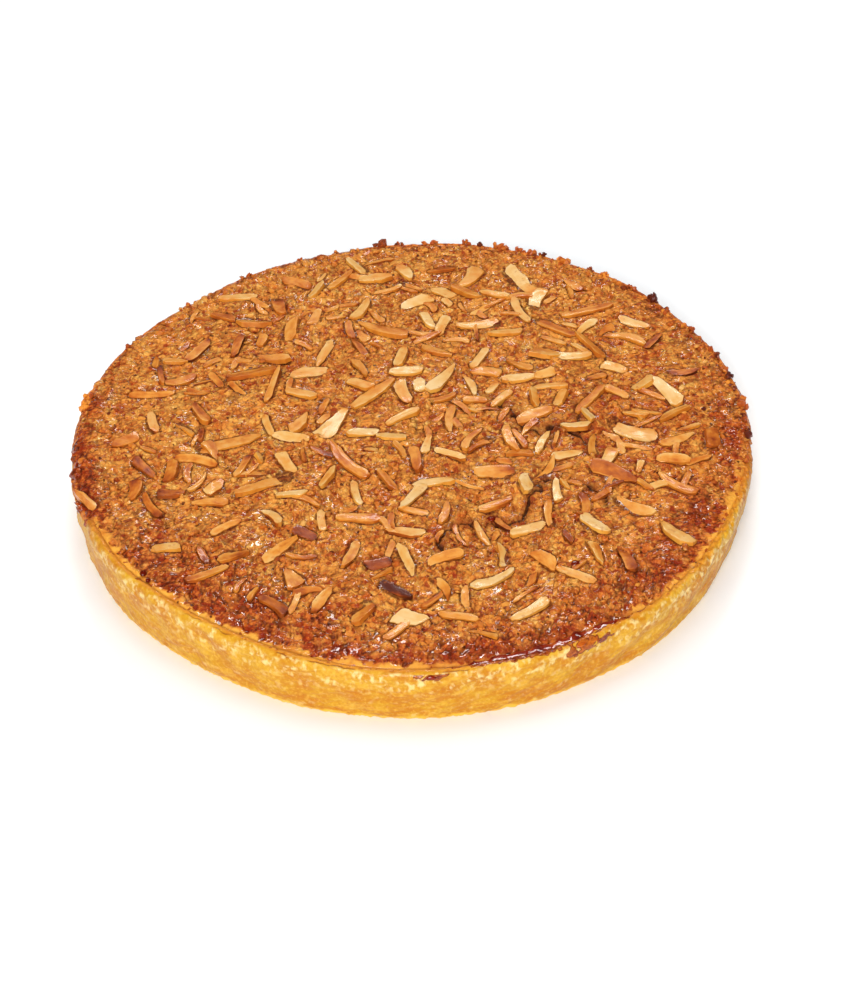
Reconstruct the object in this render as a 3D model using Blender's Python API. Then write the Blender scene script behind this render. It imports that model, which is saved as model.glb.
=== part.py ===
"""An uncut almond tart: a shallow pastry case full of baked almond paste, with slivered almonds
sunk into its top and toasted crumbs stuck along the rim.

Metres, +Z up. The origin is the middle of the underside, +X is the right-hand side, -Y the front.
"""

import math
from collections import namedtuple

import bmesh
import bpy
import numpy as np
from mathutils import Euler, Matrix, Vector

MM = 0.001

# Pastry case. The waves are (lobes round the tart, amplitude, phase in degrees).
RIM_RADIUS = 120 * MM
BASE_RADIUS = 118 * MM
RIM_HEIGHT = 22.6 * MM
RIM_SLOPE = 1.9 * MM  # how much lower the rim lies on the right than in the middle
WALL = 3.2 * MM
WALL_SPREAD = 1.0 * MM  # the case is this much thicker in front and thinner at the back
BASE_THICKNESS = 3.5 * MM
WALL_BELLY = 0.6 * MM
RIM_SHIFT = 1.1 * MM  # the rim leans to the right of the base
BASE_SHIFT = -0.1 * MM
OUTLINE_WAVES = ((3, 1.25 * MM, 153), (7, 0.3 * MM, 40), (11, 0.2 * MM, 200), (19, 0.12 * MM, 80))
HEIGHT_WAVES = ((5, 0.35 * MM, 70), (9, 0.25 * MM, 10), (14, 0.2 * MM, 250), (23, 0.16 * MM, 30))
CASE_SEGMENTS = 96

# The wall from its foot up to the rim, then down inside:
# (share of the wall's thickness in from its outer face, share of the rim's height).
CASE_PROFILE = (
    (0.7, 0.0),
    (0.2, 0.03),
    (0.0, 0.12),
    (0.0, 0.5),
    (0.0, 0.87),
    (0.14, 0.955),
    (0.45, 1.0),
    (0.8, 0.98),
    (1.0, 0.9),
)

# Almond filling
GAP = 0.3 * MM  # between the filling and the case
DOME = 1.6 * MM
EDGE_DROP = 1.3 * MM
EDGE_SHARPNESS = 14
SWELL_COUNT = 9
SWELL_HEIGHT = 0.32 * MM
SWELL_LENGTHS = (26 * MM, 62 * MM)
SWELL_SEED = 5
HOLLOW_PLACE = (25 * MM, -46 * MM)  # the sunken patch in front, right of the middle
HOLLOW_DEPTH = 1.4 * MM
HOLLOW_WIDTH = 17 * MM
TOP_RINGS = 14

# Slivered almonds. The conspicuous ones have places of their own:
# x, y, turn in degrees, length and width, in mm.
SHOWN_SLIVERS = (
    (-18, 103, -58, 14, 4),
    (-11, 93, 6, 13, 6),
    (1, 97, -66, 10, 6),
    (25, 92, 64, 16, 7),
    (45, 92, -65, 15, 8),
    (-64, 86, 6, 15, 5),
    (52, 75, 67, 13, 6),
    (44, 68, -73, 17, 4),
    (69, 68, 16, 21, 4),
    (27, 62, 5, 16, 5),
    (-9, 60, -32, 23, 5),
    (86, 59, -33, 13, 5),
    (56, 56, -38, 18, 5),
    (81, 47, -24, 16, 4),
    (-30, 47, 68, 17, 4),
    (68, 45, -60, 17, 4),
    (52, 40, -24, 10, 8),
    (-36, 35, 1, 14, 7),
    (76, 32, -33, 10, 5),
    (-57, 34, 13, 19, 5),
    (-49, 27, -102, 21, 3),
    (40, 26, 2, 12, 5),
    (12, 28, 56, 19, 5),
    (-13, 20, 43, 21, 6),
    (92, 15, -63, 18, 6),
    (65, 11, 54, 19, 4),
    (-26, 4, 64, 17, 7),
    (94, 2, 33, 14, 4),
    (-64, -3, 11, 23, 7),
    (78, -6, -30, 19, 8),
    (-75, -14, -21, 16, 4),
    (-22, -17, -55, 22, 5),
    (28, -25, -4, 14, 7),
    (-51, -29, 21, 21, 6),
    (69, -29, -37, 18, 7),
    (90, -35, -43, 16, 4),
    (-45, -61, 41, 15, 4),
    (-83, -58, 0, 10, 5),
    (87, -60, -47, 14, 6),
    (-4, -70, -73, 16, 4),
    (51, -79, -31, 14, 4),
    (24, -79, 24, 16, 4),
    (-7, -83, -38, 12, 4),
    (35, -94, 33, 15, 4),
    (-2, -94, -18, 10, 7),
)
SLIVER_COUNT = 180
SLIVER_SEED = 24
SLIVER_TRIES = 6
SLIVER_LENGTHS = (6.5 * MM, 12 * MM, 17 * MM)  # shortest, commonest, longest of the rest
SLIVER_WIDTHS = (3.2 * MM, 6.2 * MM)
NARROWNESS = 2.2  # the higher, the fewer wide ones
SLIVER_RISE = (0.5 * MM, 1.5 * MM)  # how far it stands out of the filling
SLIVER_ROOT = 1.5 * MM  # how deep it is sunk
SLIVER_CHAMFER = 0.14  # its top is narrower on each side by this share of its width
LONG_SLIVER = 13 * MM
LONG_STATIONS = (-0.96, -0.5, 0.4, 0.96)  # along the half length of a long one
SHORT_STATIONS = (-0.95, 0, 0.95)
SLIVER_REACH = 114 * MM  # none reaches farther out than this
BARE_EDGE = 0.16  # hardly any lie in this outer share of their reach
SHARP_EDGE = math.radians(40)  # steeper edges are not shaded smooth

# Toasted crumbs along the rim: (from angle, to angle, count, smallest, largest radius)
CRUMB_RUNS = (
    (-12, 60, 18, 1.0 * MM, 2.4 * MM),
    (60, 96, 10, 1.2 * MM, 3.0 * MM),
    (100, 196, 7, 1.0 * MM, 1.8 * MM),
)
CRUMB_SEED = 11
CRUMB_ROUGHNESS = 0.28
CRUMB_DEPTH = 0.6  # across the rim, for a length of 1.1 to 1.9 along it
CRUMB_STRETCH = (1.1, 1.9)
CRUMB_SINK = (0.0, 0.6)  # how far its middle lies below the rim, as a share of its radius
CRUMB_CLEARANCE = 0.2 * MM  # from the inside of the wall
# Filling that boiled over the rim on the left: (angle, outward, below the rim, radius)
SPILL = (
    (166, 0.2 * MM, 3.4 * MM, 3.0 * MM),
    (163, 0.3 * MM, 5.4 * MM, 2.6 * MM),
    (169, 0.0, 2.6 * MM, 2.4 * MM),
)

Sliver = namedtuple("Sliver", "x y turn length width rise tilt roll bow lean shear taper blunt")


def clear_scene():
    for thing in list(bpy.data.objects):
        bpy.data.objects.remove(thing)


def material(name, colour, roughness, metallic=0.0):
    made = bpy.data.materials.new(name)
    made.use_nodes = True
    shader = made.node_tree.nodes["Principled BSDF"]
    shader.inputs["Base Color"].default_value = (*colour, 1)
    shader.inputs["Roughness"].default_value = roughness
    shader.inputs["Metallic"].default_value = metallic
    return made


def object_from(shape, name, finish, collection=None):
    """Turns a bmesh into a smooth-shaded object of one material."""
    bmesh.ops.recalc_face_normals(shape, faces=shape.faces)
    if shape.calc_volume(signed=True) < 0:
        bmesh.ops.reverse_faces(shape, faces=shape.faces)
    mesh = bpy.data.meshes.new(name)
    shape.to_mesh(mesh)
    shape.free()
    mesh.materials.append(finish)
    mesh.shade_smooth()
    mesh.set_sharp_from_angle(angle=SHARP_EDGE)
    made = bpy.data.objects.new(name, mesh)
    (collection or bpy.context.scene.collection).objects.link(made)
    return made


def fuse(body, pieces):
    """Joins every object of a collection to the body with one union, and removes them."""
    join = body.modifiers.new("join", "BOOLEAN")
    join.operation = "UNION"
    join.operand_type = "COLLECTION"
    join.collection = pieces
    bpy.context.view_layer.update()
    graph = bpy.context.evaluated_depsgraph_get()
    fused = bpy.data.meshes.new_from_object(body.evaluated_get(graph))
    body.modifiers.remove(join)
    body.data = fused
    for piece in list(pieces.objects):
        bpy.data.objects.remove(piece)
    bpy.data.collections.remove(pieces)


def waves(angle, terms):
    """Sum of cosines round the tart."""
    return sum(size * np.cos(lobes * angle - math.radians(phase)) for lobes, size, phase in terms)


def rim_height(angle):
    return RIM_HEIGHT - RIM_SLOPE * np.cos(angle) + waves(angle, HEIGHT_WAVES)


def wall_thickness(angle):
    return WALL - WALL_SPREAD * np.sin(angle)


def wall_point(angle, inset, share):
    """Point of the case at an angle: inset from its outer face, at a share of the rim's height."""
    radius = BASE_RADIUS + (RIM_RADIUS - BASE_RADIUS) * share + waves(angle, OUTLINE_WAVES) - inset
    radius = radius + WALL_BELLY * 4 * share * (1 - share)
    shift = BASE_SHIFT + (RIM_SHIFT - BASE_SHIFT) * share
    height = rim_height(angle) * share
    return np.array((radius * np.cos(angle) + shift, radius * np.sin(angle), height))


def swells():
    """The slow waves of the filling's top: directions, phases and wave numbers, seeded."""
    draw = np.random.default_rng(SWELL_SEED)
    heading = draw.uniform(0, 2 * math.pi, SWELL_COUNT)
    phase = draw.uniform(0, 2 * math.pi, SWELL_COUNT)
    number = 2 * math.pi / draw.uniform(*SWELL_LENGTHS, SWELL_COUNT)
    return heading, phase, number


SWELLS = swells()


def top_height(x, y):
    """Height of the filling's top: level with the sloping rim, with a low dome, slow swells,
    a sunken patch, and a rounded-off edge."""
    heading, phase, number = SWELLS
    share = math.hypot(x, y) / (RIM_RADIUS - WALL)
    level = RIM_HEIGHT - RIM_SLOPE * x / RIM_RADIUS + DOME * (1 - share**2)
    along = x * np.cos(heading) + y * np.sin(heading)
    swell = SWELL_HEIGHT * np.sin(along * number + phase).sum() * (1 - min(share, 1) ** 6)
    from_hollow = math.hypot(x - HOLLOW_PLACE[0], y - HOLLOW_PLACE[1]) / HOLLOW_WIDTH
    hollow = HOLLOW_DEPTH * math.exp(-(from_hollow**2))
    return level + swell - hollow - EDGE_DROP * share**EDGE_SHARPNESS


def add_ring(shape, points):
    return [shape.verts.new(point) for point in points]


def close_fan(shape, ring, centre):
    middle = shape.verts.new(centre)
    for one, two in zip(ring, ring[1:] + ring[:1]):
        shape.faces.new((one, two, middle))


def bridge(shape, lower, upper):
    for k in range(len(lower)):
        after = (k + 1) % len(lower)
        shape.faces.new((lower[k], lower[after], upper[after], upper[k]))


def crumb(name, place, angle, radius, draw, finish, collection):
    """A craggy lump, longer along the rim: an icosphere with each corner pushed in or out."""
    shape = bmesh.new()
    bmesh.ops.create_icosphere(shape, subdivisions=1, radius=radius)
    for corner in shape.verts:
        corner.co *= 1 + draw.uniform(-CRUMB_ROUGHNESS, CRUMB_ROUGHNESS)
        corner.co.x *= CRUMB_DEPTH
        corner.co.y *= draw.uniform(*CRUMB_STRETCH)
    shape.transform(Matrix.Translation(place) @ Matrix.Rotation(angle, 4, "Z"))
    return object_from(shape, name, finish, collection)


def rim_crumbs(finish, collection):
    """Crumbs along the back and sides of the rim, denser at the back right, and the spill."""
    draw = np.random.default_rng(CRUMB_SEED)
    for run, (start, end, count, small, large) in enumerate(CRUMB_RUNS):
        for k in range(count):
            angle = math.radians(start + (end - start) * (k + draw.uniform(0, 1)) / count)
            radius = small + (large - small) * draw.uniform() ** 2
            reach = radius * CRUMB_DEPTH * (1 + CRUMB_ROUGHNESS)
            place = Vector(wall_point(angle, wall_thickness(angle) - CRUMB_CLEARANCE - reach, 1.0))
            place.z -= draw.uniform(*CRUMB_SINK) * radius
            crumb(f"crumb_{run}_{k}", place, angle, radius, draw, finish, collection)
    for k, (degrees, outward, below, radius) in enumerate(SPILL):
        angle = math.radians(degrees)
        place = Vector(wall_point(angle, -outward, 1.0))
        place.z -= below
        crumb(f"spill_{k}", place, angle, radius, draw, finish, collection)


def make_case(finish):
    """The pastry case: its profile carried round the tart, an underside and a floor inside."""
    shape = bmesh.new()
    angles = [2 * math.pi * k / CASE_SEGMENTS for k in range(CASE_SEGMENTS)]
    rings = [
        add_ring(shape, [wall_point(angle, inset * wall_thickness(angle), share) for angle in angles])
        for inset, share in CASE_PROFILE
    ]
    floor = []
    for angle in angles:
        x, y, _ = wall_point(angle, wall_thickness(angle), BASE_THICKNESS / RIM_HEIGHT)
        floor.append((x, y, BASE_THICKNESS))
    rings.append(add_ring(shape, floor))
    for lower, upper in zip(rings, rings[1:]):
        bridge(shape, lower, upper)
    close_fan(shape, rings[0], (0, 0, 0))
    close_fan(shape, rings[-1], (0, 0, BASE_THICKNESS))
    case = object_from(shape, "pastry_case", finish)
    crumbs = bpy.data.collections.new("rim_crumbs")
    bpy.context.scene.collection.children.link(crumbs)
    rim_crumbs(finish, crumbs)
    fuse(case, crumbs)
    return case


def filling_edge(angle, height_share):
    return wall_point(angle, wall_thickness(angle) + GAP, height_share)


def top_rings(shape):
    """The filling's top as rings of 6, 12, 18 ... points, stitched into even triangles."""
    middle = shape.verts.new((0, 0, top_height(0, 0)))
    inner = [middle]
    for ring in range(1, TOP_RINGS + 1):
        count = 6 * ring
        outer = []
        for k in range(count):
            angle = 2 * math.pi * k / count
            edge = filling_edge(angle, 1.0)
            x, y = edge[0] * ring / TOP_RINGS, edge[1] * ring / TOP_RINGS
            outer.append(shape.verts.new((x, y, top_height(x, y))))
        for side in range(6):
            for k in range(ring):
                out_a = outer[side * ring + k]
                out_b = outer[(side * ring + k + 1) % count]
                in_a = inner[(side * (ring - 1) + k) % len(inner)]
                shape.faces.new((out_a, out_b, in_a))
                if k < ring - 1:
                    in_b = inner[(side * (ring - 1) + k + 1) % len(inner)]
                    shape.faces.new((in_a, out_b, in_b))
        inner = outer
    return inner


def make_filling(finish):
    """The filling: its top, a side that follows the case's wall inside, and a flat bottom."""
    shape = bmesh.new()
    edge = top_rings(shape)
    floor = []
    for k in range(len(edge)):
        angle = 2 * math.pi * k / len(edge)
        x, y, _ = filling_edge(angle, BASE_THICKNESS / RIM_HEIGHT)
        floor.append((x, y, BASE_THICKNESS + GAP))
    foot = add_ring(shape, floor)
    bridge(shape, foot, edge)
    close_fan(shape, foot, (0, 0, BASE_THICKNESS + GAP))
    filling = object_from(shape, "almond_filling", finish)
    almonds = bpy.data.collections.new("slivered_almonds")
    bpy.context.scene.collection.children.link(almonds)
    for k, place in enumerate(sliver_places()):
        make_sliver(f"sliver_{k}", place, finish, almonds)
    fuse(filling, almonds)
    return filling


def crowding(x, y):
    """How closely the slivers lie, 0 to 1: closest in the middle and at the back right,
    thinner at the front and the left, and none along the rim."""
    share = np.hypot(x, y) / SLIVER_REACH
    back_right = (x + y) / RIM_RADIUS
    return np.clip((1 - share) / BARE_EDGE, 0, 1) * (0.5 + 0.4 * (1 - share) + 0.17 * back_right)


def sliver_shape(draw):
    """How one sliver lies and differs from the others, drawn in a fixed order."""
    return (
        draw.uniform(*SLIVER_RISE),
        draw.normal(0, 0.045),  # tilt
        draw.normal(0, 0.16),  # roll
        draw.normal(0, 0.055),  # bow
        draw.uniform(-0.45, 0.45),  # lean: one side fuller than the other
        draw.normal(0, 0.35),  # shear: slanted ends
        draw.normal(0, 0.2),  # taper
        draw.uniform(2.6, 8),  # blunt
    )


def sliver_places():
    """All the slivers: the conspicuous ones, then the rest from the longest to the shortest.
    Each of the rest goes to the best of a few random spots: far from the others where few lie."""
    draw = np.random.default_rng(SLIVER_SEED)
    slivers = []
    for x, y, turn, length, width in SHOWN_SLIVERS:
        size = (x * MM, y * MM, math.radians(turn), length * MM, width * MM)
        slivers.append(Sliver(*size, *sliver_shape(draw)))
    rest = SLIVER_COUNT - len(slivers)
    for length in sorted(draw.triangular(*SLIVER_LENGTHS, rest), reverse=True):
        angle = draw.uniform(0, 2 * math.pi, SLIVER_TRIES)
        radius = (SLIVER_REACH - length / 2) * np.sqrt(draw.uniform(0, 1, SLIVER_TRIES))
        x, y = radius * np.cos(angle), radius * np.sin(angle)
        placed = np.array([(sliver.x, sliver.y) for sliver in slivers])
        nearest = np.hypot(x[:, None] - placed[:, 0], y[:, None] - placed[:, 1]).min(axis=1)
        best = np.argmax(nearest * np.sqrt(crowding(x, y)))
        width = SLIVER_WIDTHS[0] + (SLIVER_WIDTHS[1] - SLIVER_WIDTHS[0]) * draw.uniform() ** NARROWNESS
        size = (x[best], y[best], draw.uniform(0, 2 * math.pi), length, width)
        slivers.append(Sliver(*size, *sliver_shape(draw)))
    return slivers


def sliver_sides(sliver, along):
    """The two sides of a sliver's outline at stations along it, from -1 to 1: half the width times
    the square root of 1 - |t| to the bluntness, narrower to one end and fuller on one side,
    on an axis bowed sideways, with the ends slanted."""
    half = sliver.width / 2 * np.sqrt(1 - np.abs(along) ** sliver.blunt) * (1 + sliver.taper * along)
    middle = sliver.bow * sliver.length * (1 - along**2)
    start = along * sliver.length / 2
    left = middle + half * (1 + sliver.lean)
    right = middle - half * (1 - sliver.lean)
    return (start + sliver.shear * left, left), (start + sliver.shear * right, right)


def make_sliver(name, sliver, finish, collection):
    """A sliver as a low prism with a narrower top, its root sunk into the filling."""
    stations = np.array(LONG_STATIONS if sliver.length > LONG_SLIVER else SHORT_STATIONS)
    left, right = sliver_sides(sliver, stations)
    up, down = Vector((0, 0, sliver.rise)), Vector((0, 0, -SLIVER_ROOT))
    shape = bmesh.new()
    sections = []
    for k in range(len(stations)):
        a = Vector((left[0][k], left[1][k], 0))
        b = Vector((right[0][k], right[1][k], 0))
        inset = (b - a) * SLIVER_CHAMFER
        sections.append(add_ring(shape, (a + down, b + down, b - inset + up, a + inset + up)))
    for one, two in zip(sections, sections[1:]):
        bridge(shape, one, two)
    shape.faces.new(sections[0])
    shape.faces.new(sections[-1])
    bmesh.ops.triangulate(shape, faces=shape.faces)
    pose = Euler((sliver.roll, sliver.tilt, sliver.turn)).to_matrix().to_4x4()
    place = Matrix.Translation((sliver.x, sliver.y, top_height(sliver.x, sliver.y)))
    shape.transform(place @ pose)
    return object_from(shape, name, finish, collection)


def main():
    clear_scene()
    pastry = material("golden_pastry", (0.78, 0.47, 0.13), 0.45)
    paste = material("baked_almond_paste", (0.5, 0.2, 0.05), 0.35)
    make_case(pastry)
    make_filling(paste)


main()
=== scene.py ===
"""The looks of an uncut almond tart: a glossy golden pastry case, a craggy baked almond filling,
slivered almonds sunk into it, and crumbs and caramel along the rim.

Metres, +Z up, +X to the right and -Y towards the camera. Angles go round the tart from +X.
Every shape is worked out as arrays of points: a section carried round, or a grid pressed into a disc.
"""

import math
from collections import namedtuple
from itertools import combinations

import bpy
import numpy as np
from mathutils import Euler, Matrix, Vector


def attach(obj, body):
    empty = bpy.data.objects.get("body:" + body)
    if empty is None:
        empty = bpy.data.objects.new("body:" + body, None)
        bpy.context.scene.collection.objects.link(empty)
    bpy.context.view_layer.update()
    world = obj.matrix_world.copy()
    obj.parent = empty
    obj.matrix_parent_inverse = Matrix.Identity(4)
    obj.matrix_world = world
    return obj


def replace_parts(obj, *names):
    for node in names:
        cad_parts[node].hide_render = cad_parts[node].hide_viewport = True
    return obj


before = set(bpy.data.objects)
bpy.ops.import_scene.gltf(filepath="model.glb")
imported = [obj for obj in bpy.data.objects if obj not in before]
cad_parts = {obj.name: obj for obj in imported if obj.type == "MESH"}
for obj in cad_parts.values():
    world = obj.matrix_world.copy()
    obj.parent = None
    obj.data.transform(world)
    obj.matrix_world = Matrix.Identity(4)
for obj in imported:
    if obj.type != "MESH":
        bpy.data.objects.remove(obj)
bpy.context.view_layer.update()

MM = 0.001
FULL_TURN = 2 * math.pi

# Pastry case, as in the solids. The waves are (lobes round the tart, amplitude, phase in degrees).
RIM_RADIUS = 120 * MM
BASE_RADIUS = 118 * MM
RIM_HEIGHT = 22.6 * MM
RIM_SLOPE = 1.9 * MM  # by so much higher on the left and lower on the right
WALL = 3.2 * MM
WALL_SPREAD = 1.0 * MM  # by so much thicker in front and thinner at the back
BASE_THICKNESS = 3.5 * MM
WALL_BELLY = 0.6 * MM
RIM_SHIFT = 1.1 * MM  # x of the rim's middle
BASE_SHIFT = -0.1 * MM  # x of the base's middle
OUTLINE_WAVES = ((3, 1.25 * MM, 153), (7, 0.3 * MM, 40), (11, 0.2 * MM, 200), (19, 0.12 * MM, 80))
HEIGHT_WAVES = ((5, 0.35 * MM, 70), (9, 0.25 * MM, 10), (14, 0.2 * MM, 250), (23, 0.16 * MM, 30))

# Filling, as in the solids
GAP = 0.3 * MM
DOME = 1.6 * MM
EDGE_DROP = 1.3 * MM
EDGE_SHARPNESS = 14
SWELL_COUNT = 9
SWELL_HEIGHT = 0.32 * MM
SWELL_LENGTHS = (26 * MM, 62 * MM)
SWELL_SEED = 5
HOLLOW_PLACE = (25 * MM, -46 * MM)
HOLLOW_DEPTH = 1.4 * MM
HOLLOW_WIDTH = 17 * MM

# Slivered almonds, as in the solids: x, y, turn in degrees, length and width in mm,
# and how dark each is baked, from 0 for cream to 1 for dark brown.
SHOWN_SLIVERS = (
    (-18, 103, -58, 14, 4, 0.15),
    (-11, 93, 6, 13, 6, 0.35),
    (1, 97, -66, 10, 6, 0.25),
    (25, 92, 64, 16, 7, 0.4),
    (45, 92, -65, 15, 8, 0.1),
    (-64, 86, 6, 15, 5, 0.35),
    (52, 75, 67, 13, 6, 0.1),
    (44, 68, -73, 17, 4, 0.3),
    (69, 68, 16, 21, 4, 0.6),
    (27, 62, 5, 16, 5, 0.4),
    (-9, 60, -32, 23, 5, 0.62),
    (86, 59, -33, 13, 5, 0.25),
    (56, 56, -38, 18, 5, 0.65),
    (81, 47, -24, 16, 4, 0.45),
    (-30, 47, 68, 17, 4, 0.4),
    (68, 45, -60, 17, 4, 0.66),
    (52, 40, -24, 10, 8, 0.45),
    (-36, 35, 1, 14, 7, 0.35),
    (76, 32, -33, 10, 5, 0.3),
    (-57, 34, 13, 19, 5, 0.65),
    (-49, 27, -102, 21, 3, 0.5),
    (40, 26, 2, 12, 5, 0.15),
    (12, 28, 56, 19, 5, 0.15),
    (-13, 20, 43, 21, 6, 0.4),
    (92, 15, -63, 18, 6, 0.1),
    (65, 11, 54, 19, 4, 0.66),
    (-26, 4, 64, 17, 7, 0.15),
    (94, 2, 33, 14, 4, 0.46),
    (-64, -3, 11, 23, 7, 0.5),
    (78, -6, -30, 19, 8, 0.34),
    (-75, -14, -21, 16, 4, 0.5),
    (-22, -17, -55, 22, 5, 0.6),
    (28, -25, -4, 14, 7, 0.58),
    (-51, -29, 21, 21, 6, 0.45),
    (69, -29, -37, 18, 7, 0.86),
    (90, -35, -43, 16, 4, 0.58),
    (-45, -61, 41, 15, 4, 0.45),
    (-83, -58, 0, 10, 5, 0.35),
    (87, -60, -47, 14, 6, 0.3),
    (-4, -70, -73, 16, 4, 0.2),
    (51, -79, -31, 14, 4, 0.35),
    (24, -79, 24, 16, 4, 0.1),
    (-7, -83, -38, 12, 4, 1.2),
    (35, -94, 33, 15, 4, 0.2),
    (-2, -94, -18, 10, 7, 0.0),
)
SLIVER_COUNT = 180
SLIVER_SEED = 24
SLIVER_TRIES = 6  # random spots, of which each sliver takes the best
SLIVER_LENGTHS = (6.5 * MM, 12 * MM, 17 * MM)  # shortest, usual and longest
SLIVER_WIDTHS = (3.2 * MM, 6.2 * MM)
NARROWNESS = 2.2  # a power that makes most of them narrow
SLIVER_RISE = (0.5 * MM, 1.5 * MM)
SLIVER_ROOT = 1.5 * MM  # below the paste
SLIVER_REACH = 114 * MM  # from the middle
BARE_EDGE = 0.16  # of that reach, over which they thin out
TILT, ROLL, BOW, SHEAR, TAPER = 0.045, 0.16, 0.055, 0.35, 0.2  # how much slivers differ in each
MOST_LEAN = 0.45  # by how much one side is fuller than the other
BLUNTNESS = (2.6, 8)
END_CUT = 1.45  # over the bluntness: the length of a cut end, as a share of half the sliver's
END_LENGTHS = (0.1, 0.85)  # least and most of that share
TIP_WIDTH = 0.72  # of the sliver's width, less TIP_NARROWING for each unit of the end's length
TIP_NARROWING = 0.28
DARKEST = 1.25  # the tone of the darkest brown

# Crumbs along the rim, as in the solids: (from angle, to angle, count, smallest, largest radius)
CRUMB_RUNS = (
    (-12, 60, 18, 1.0 * MM, 2.4 * MM),
    (60, 96, 10, 1.2 * MM, 3.0 * MM),
    (100, 196, 7, 1.0 * MM, 1.8 * MM),
)
CRUMB_SEED = 11
CRUMB_CORNERS = 12
CRUMB_ROUGHNESS = 0.28  # of the radius
CRUMB_DEPTH = 0.6  # of the radius, in and out
CRUMB_SINK = (0.0, 0.6)  # of the radius
CRUMB_CLEARANCE = 0.2 * MM
# Filling that boiled over on the left: angle in degrees, distance out, below the rim, radius
SPILL = (
    (166, 0.2 * MM, 3.4 * MM, 3.0 * MM),
    (163, 0.3 * MM, 5.4 * MM, 2.6 * MM),
    (169, 0.0, 2.6 * MM, 2.4 * MM),
)

# Camera
CAMERA_DISTANCE = 0.720
CAMERA_RISE = math.radians(40.17)
CAMERA_ROLL = math.radians(2.88)
CAMERA_SIDE = 1.1 * MM
AIM = (2.4 * MM, -12.24 * MM, 0)
SENSOR = 36  # mm, along the photograph's longer side
LENS = 71.8  # mm

Sliver = namedtuple("Sliver", "x y turn length width rise tilt roll bow lean shear taper blunt")
Cells = namedtuple("Cells", "level slope gap shade")
Paste = namedtuple("Paste", "height tone seam gap crack toast glaze band amber")
FAR = 5  # mm from a seam, a sliver or a crack: too far for its line


# ---------------------------------------------------------------- shapes shared with the solids


def waves(angle, terms):
    """Sum of cosines round the tart: amplitude times cos(lobes * angle - phase)."""
    return sum(size * np.cos(lobes * angle - math.radians(phase)) for lobes, size, phase in terms)


def rim_height(angle):
    """The rim's height, lower on the right by a cosine, and slightly wavy."""
    return RIM_HEIGHT - RIM_SLOPE * np.cos(angle) + waves(angle, HEIGHT_WAVES)


def wall_thickness(angle):
    """Thicker in front and thinner at the back, by a sine."""
    return WALL - WALL_SPREAD * np.sin(angle)


def wall_point(angle, inset, share):
    """Point of the case at an angle: the radius grows from the base to the rim with a parabolic
    belly and the outline's waves, less an inset; the height is a share of the rim's."""
    radius = BASE_RADIUS + (RIM_RADIUS - BASE_RADIUS) * share + waves(angle, OUTLINE_WAVES) - inset
    radius = radius + WALL_BELLY * 4 * share * (1 - share)
    shift = BASE_SHIFT + (RIM_SHIFT - BASE_SHIFT) * share
    height = rim_height(angle) * share
    return np.stack(np.broadcast_arrays(radius * np.cos(angle) + shift, radius * np.sin(angle), height), -1)


def swells():
    """The slow waves of the filling's top: directions, phases and wave numbers, seeded."""
    draw = np.random.default_rng(SWELL_SEED)
    heading = draw.uniform(0, FULL_TURN, SWELL_COUNT)
    phase = draw.uniform(0, FULL_TURN, SWELL_COUNT)
    number = FULL_TURN / draw.uniform(*SWELL_LENGTHS, SWELL_COUNT)
    return heading, phase, number


SWELLS = swells()


def top_height(x, y):
    """Height of the filling's top: a plane level with the sloping rim, plus a parabolic dome and slow
    sine swells, less a bell-shaped hollow and a drop at the edge by a high power of the radius."""
    share = np.hypot(x, y) / (RIM_RADIUS - WALL)
    level = RIM_HEIGHT - RIM_SLOPE * x / RIM_RADIUS + DOME * (1 - share**2)
    swell = sum(
        np.sin((x * math.cos(heading) + y * math.sin(heading)) * number + phase)
        for heading, phase, number in zip(*SWELLS)
    )
    swell = SWELL_HEIGHT * swell * (1 - np.minimum(share, 1) ** 6)
    from_hollow = np.hypot(x - HOLLOW_PLACE[0], y - HOLLOW_PLACE[1]) / HOLLOW_WIDTH
    return level + swell - HOLLOW_DEPTH * np.exp(-(from_hollow**2)) - EDGE_DROP * share**EDGE_SHARPNESS


def crowding(x, y):
    """How closely the slivers lie, 0 to 1: closest in the middle and at the back right,
    thinner at the front and the left, and none along the rim."""
    share = np.hypot(x, y) / SLIVER_REACH
    back_right = (x + y) / RIM_RADIUS
    return np.clip((1 - share) / BARE_EDGE, 0, 1) * (0.5 + 0.4 * (1 - share) + 0.17 * back_right)


def sliver_shape(draw):
    """How one sliver lies and differs from the others, drawn in a fixed order."""
    rise = draw.uniform(*SLIVER_RISE)
    tilt, roll, bow = (draw.normal(0, usual) for usual in (TILT, ROLL, BOW))
    lean = draw.uniform(-MOST_LEAN, MOST_LEAN)
    shear, taper = (draw.normal(0, usual) for usual in (SHEAR, TAPER))
    return rise, tilt, roll, bow, lean, shear, taper, draw.uniform(*BLUNTNESS)


def disc_spots(draw, reach, count):
    """Random spots strewn evenly over a disc: the radius is the root of a random share of its reach."""
    angle = draw.uniform(0, FULL_TURN, count)
    radius = reach * np.sqrt(draw.uniform(0, 1, count))
    return radius * np.cos(angle), radius * np.sin(angle)


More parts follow.
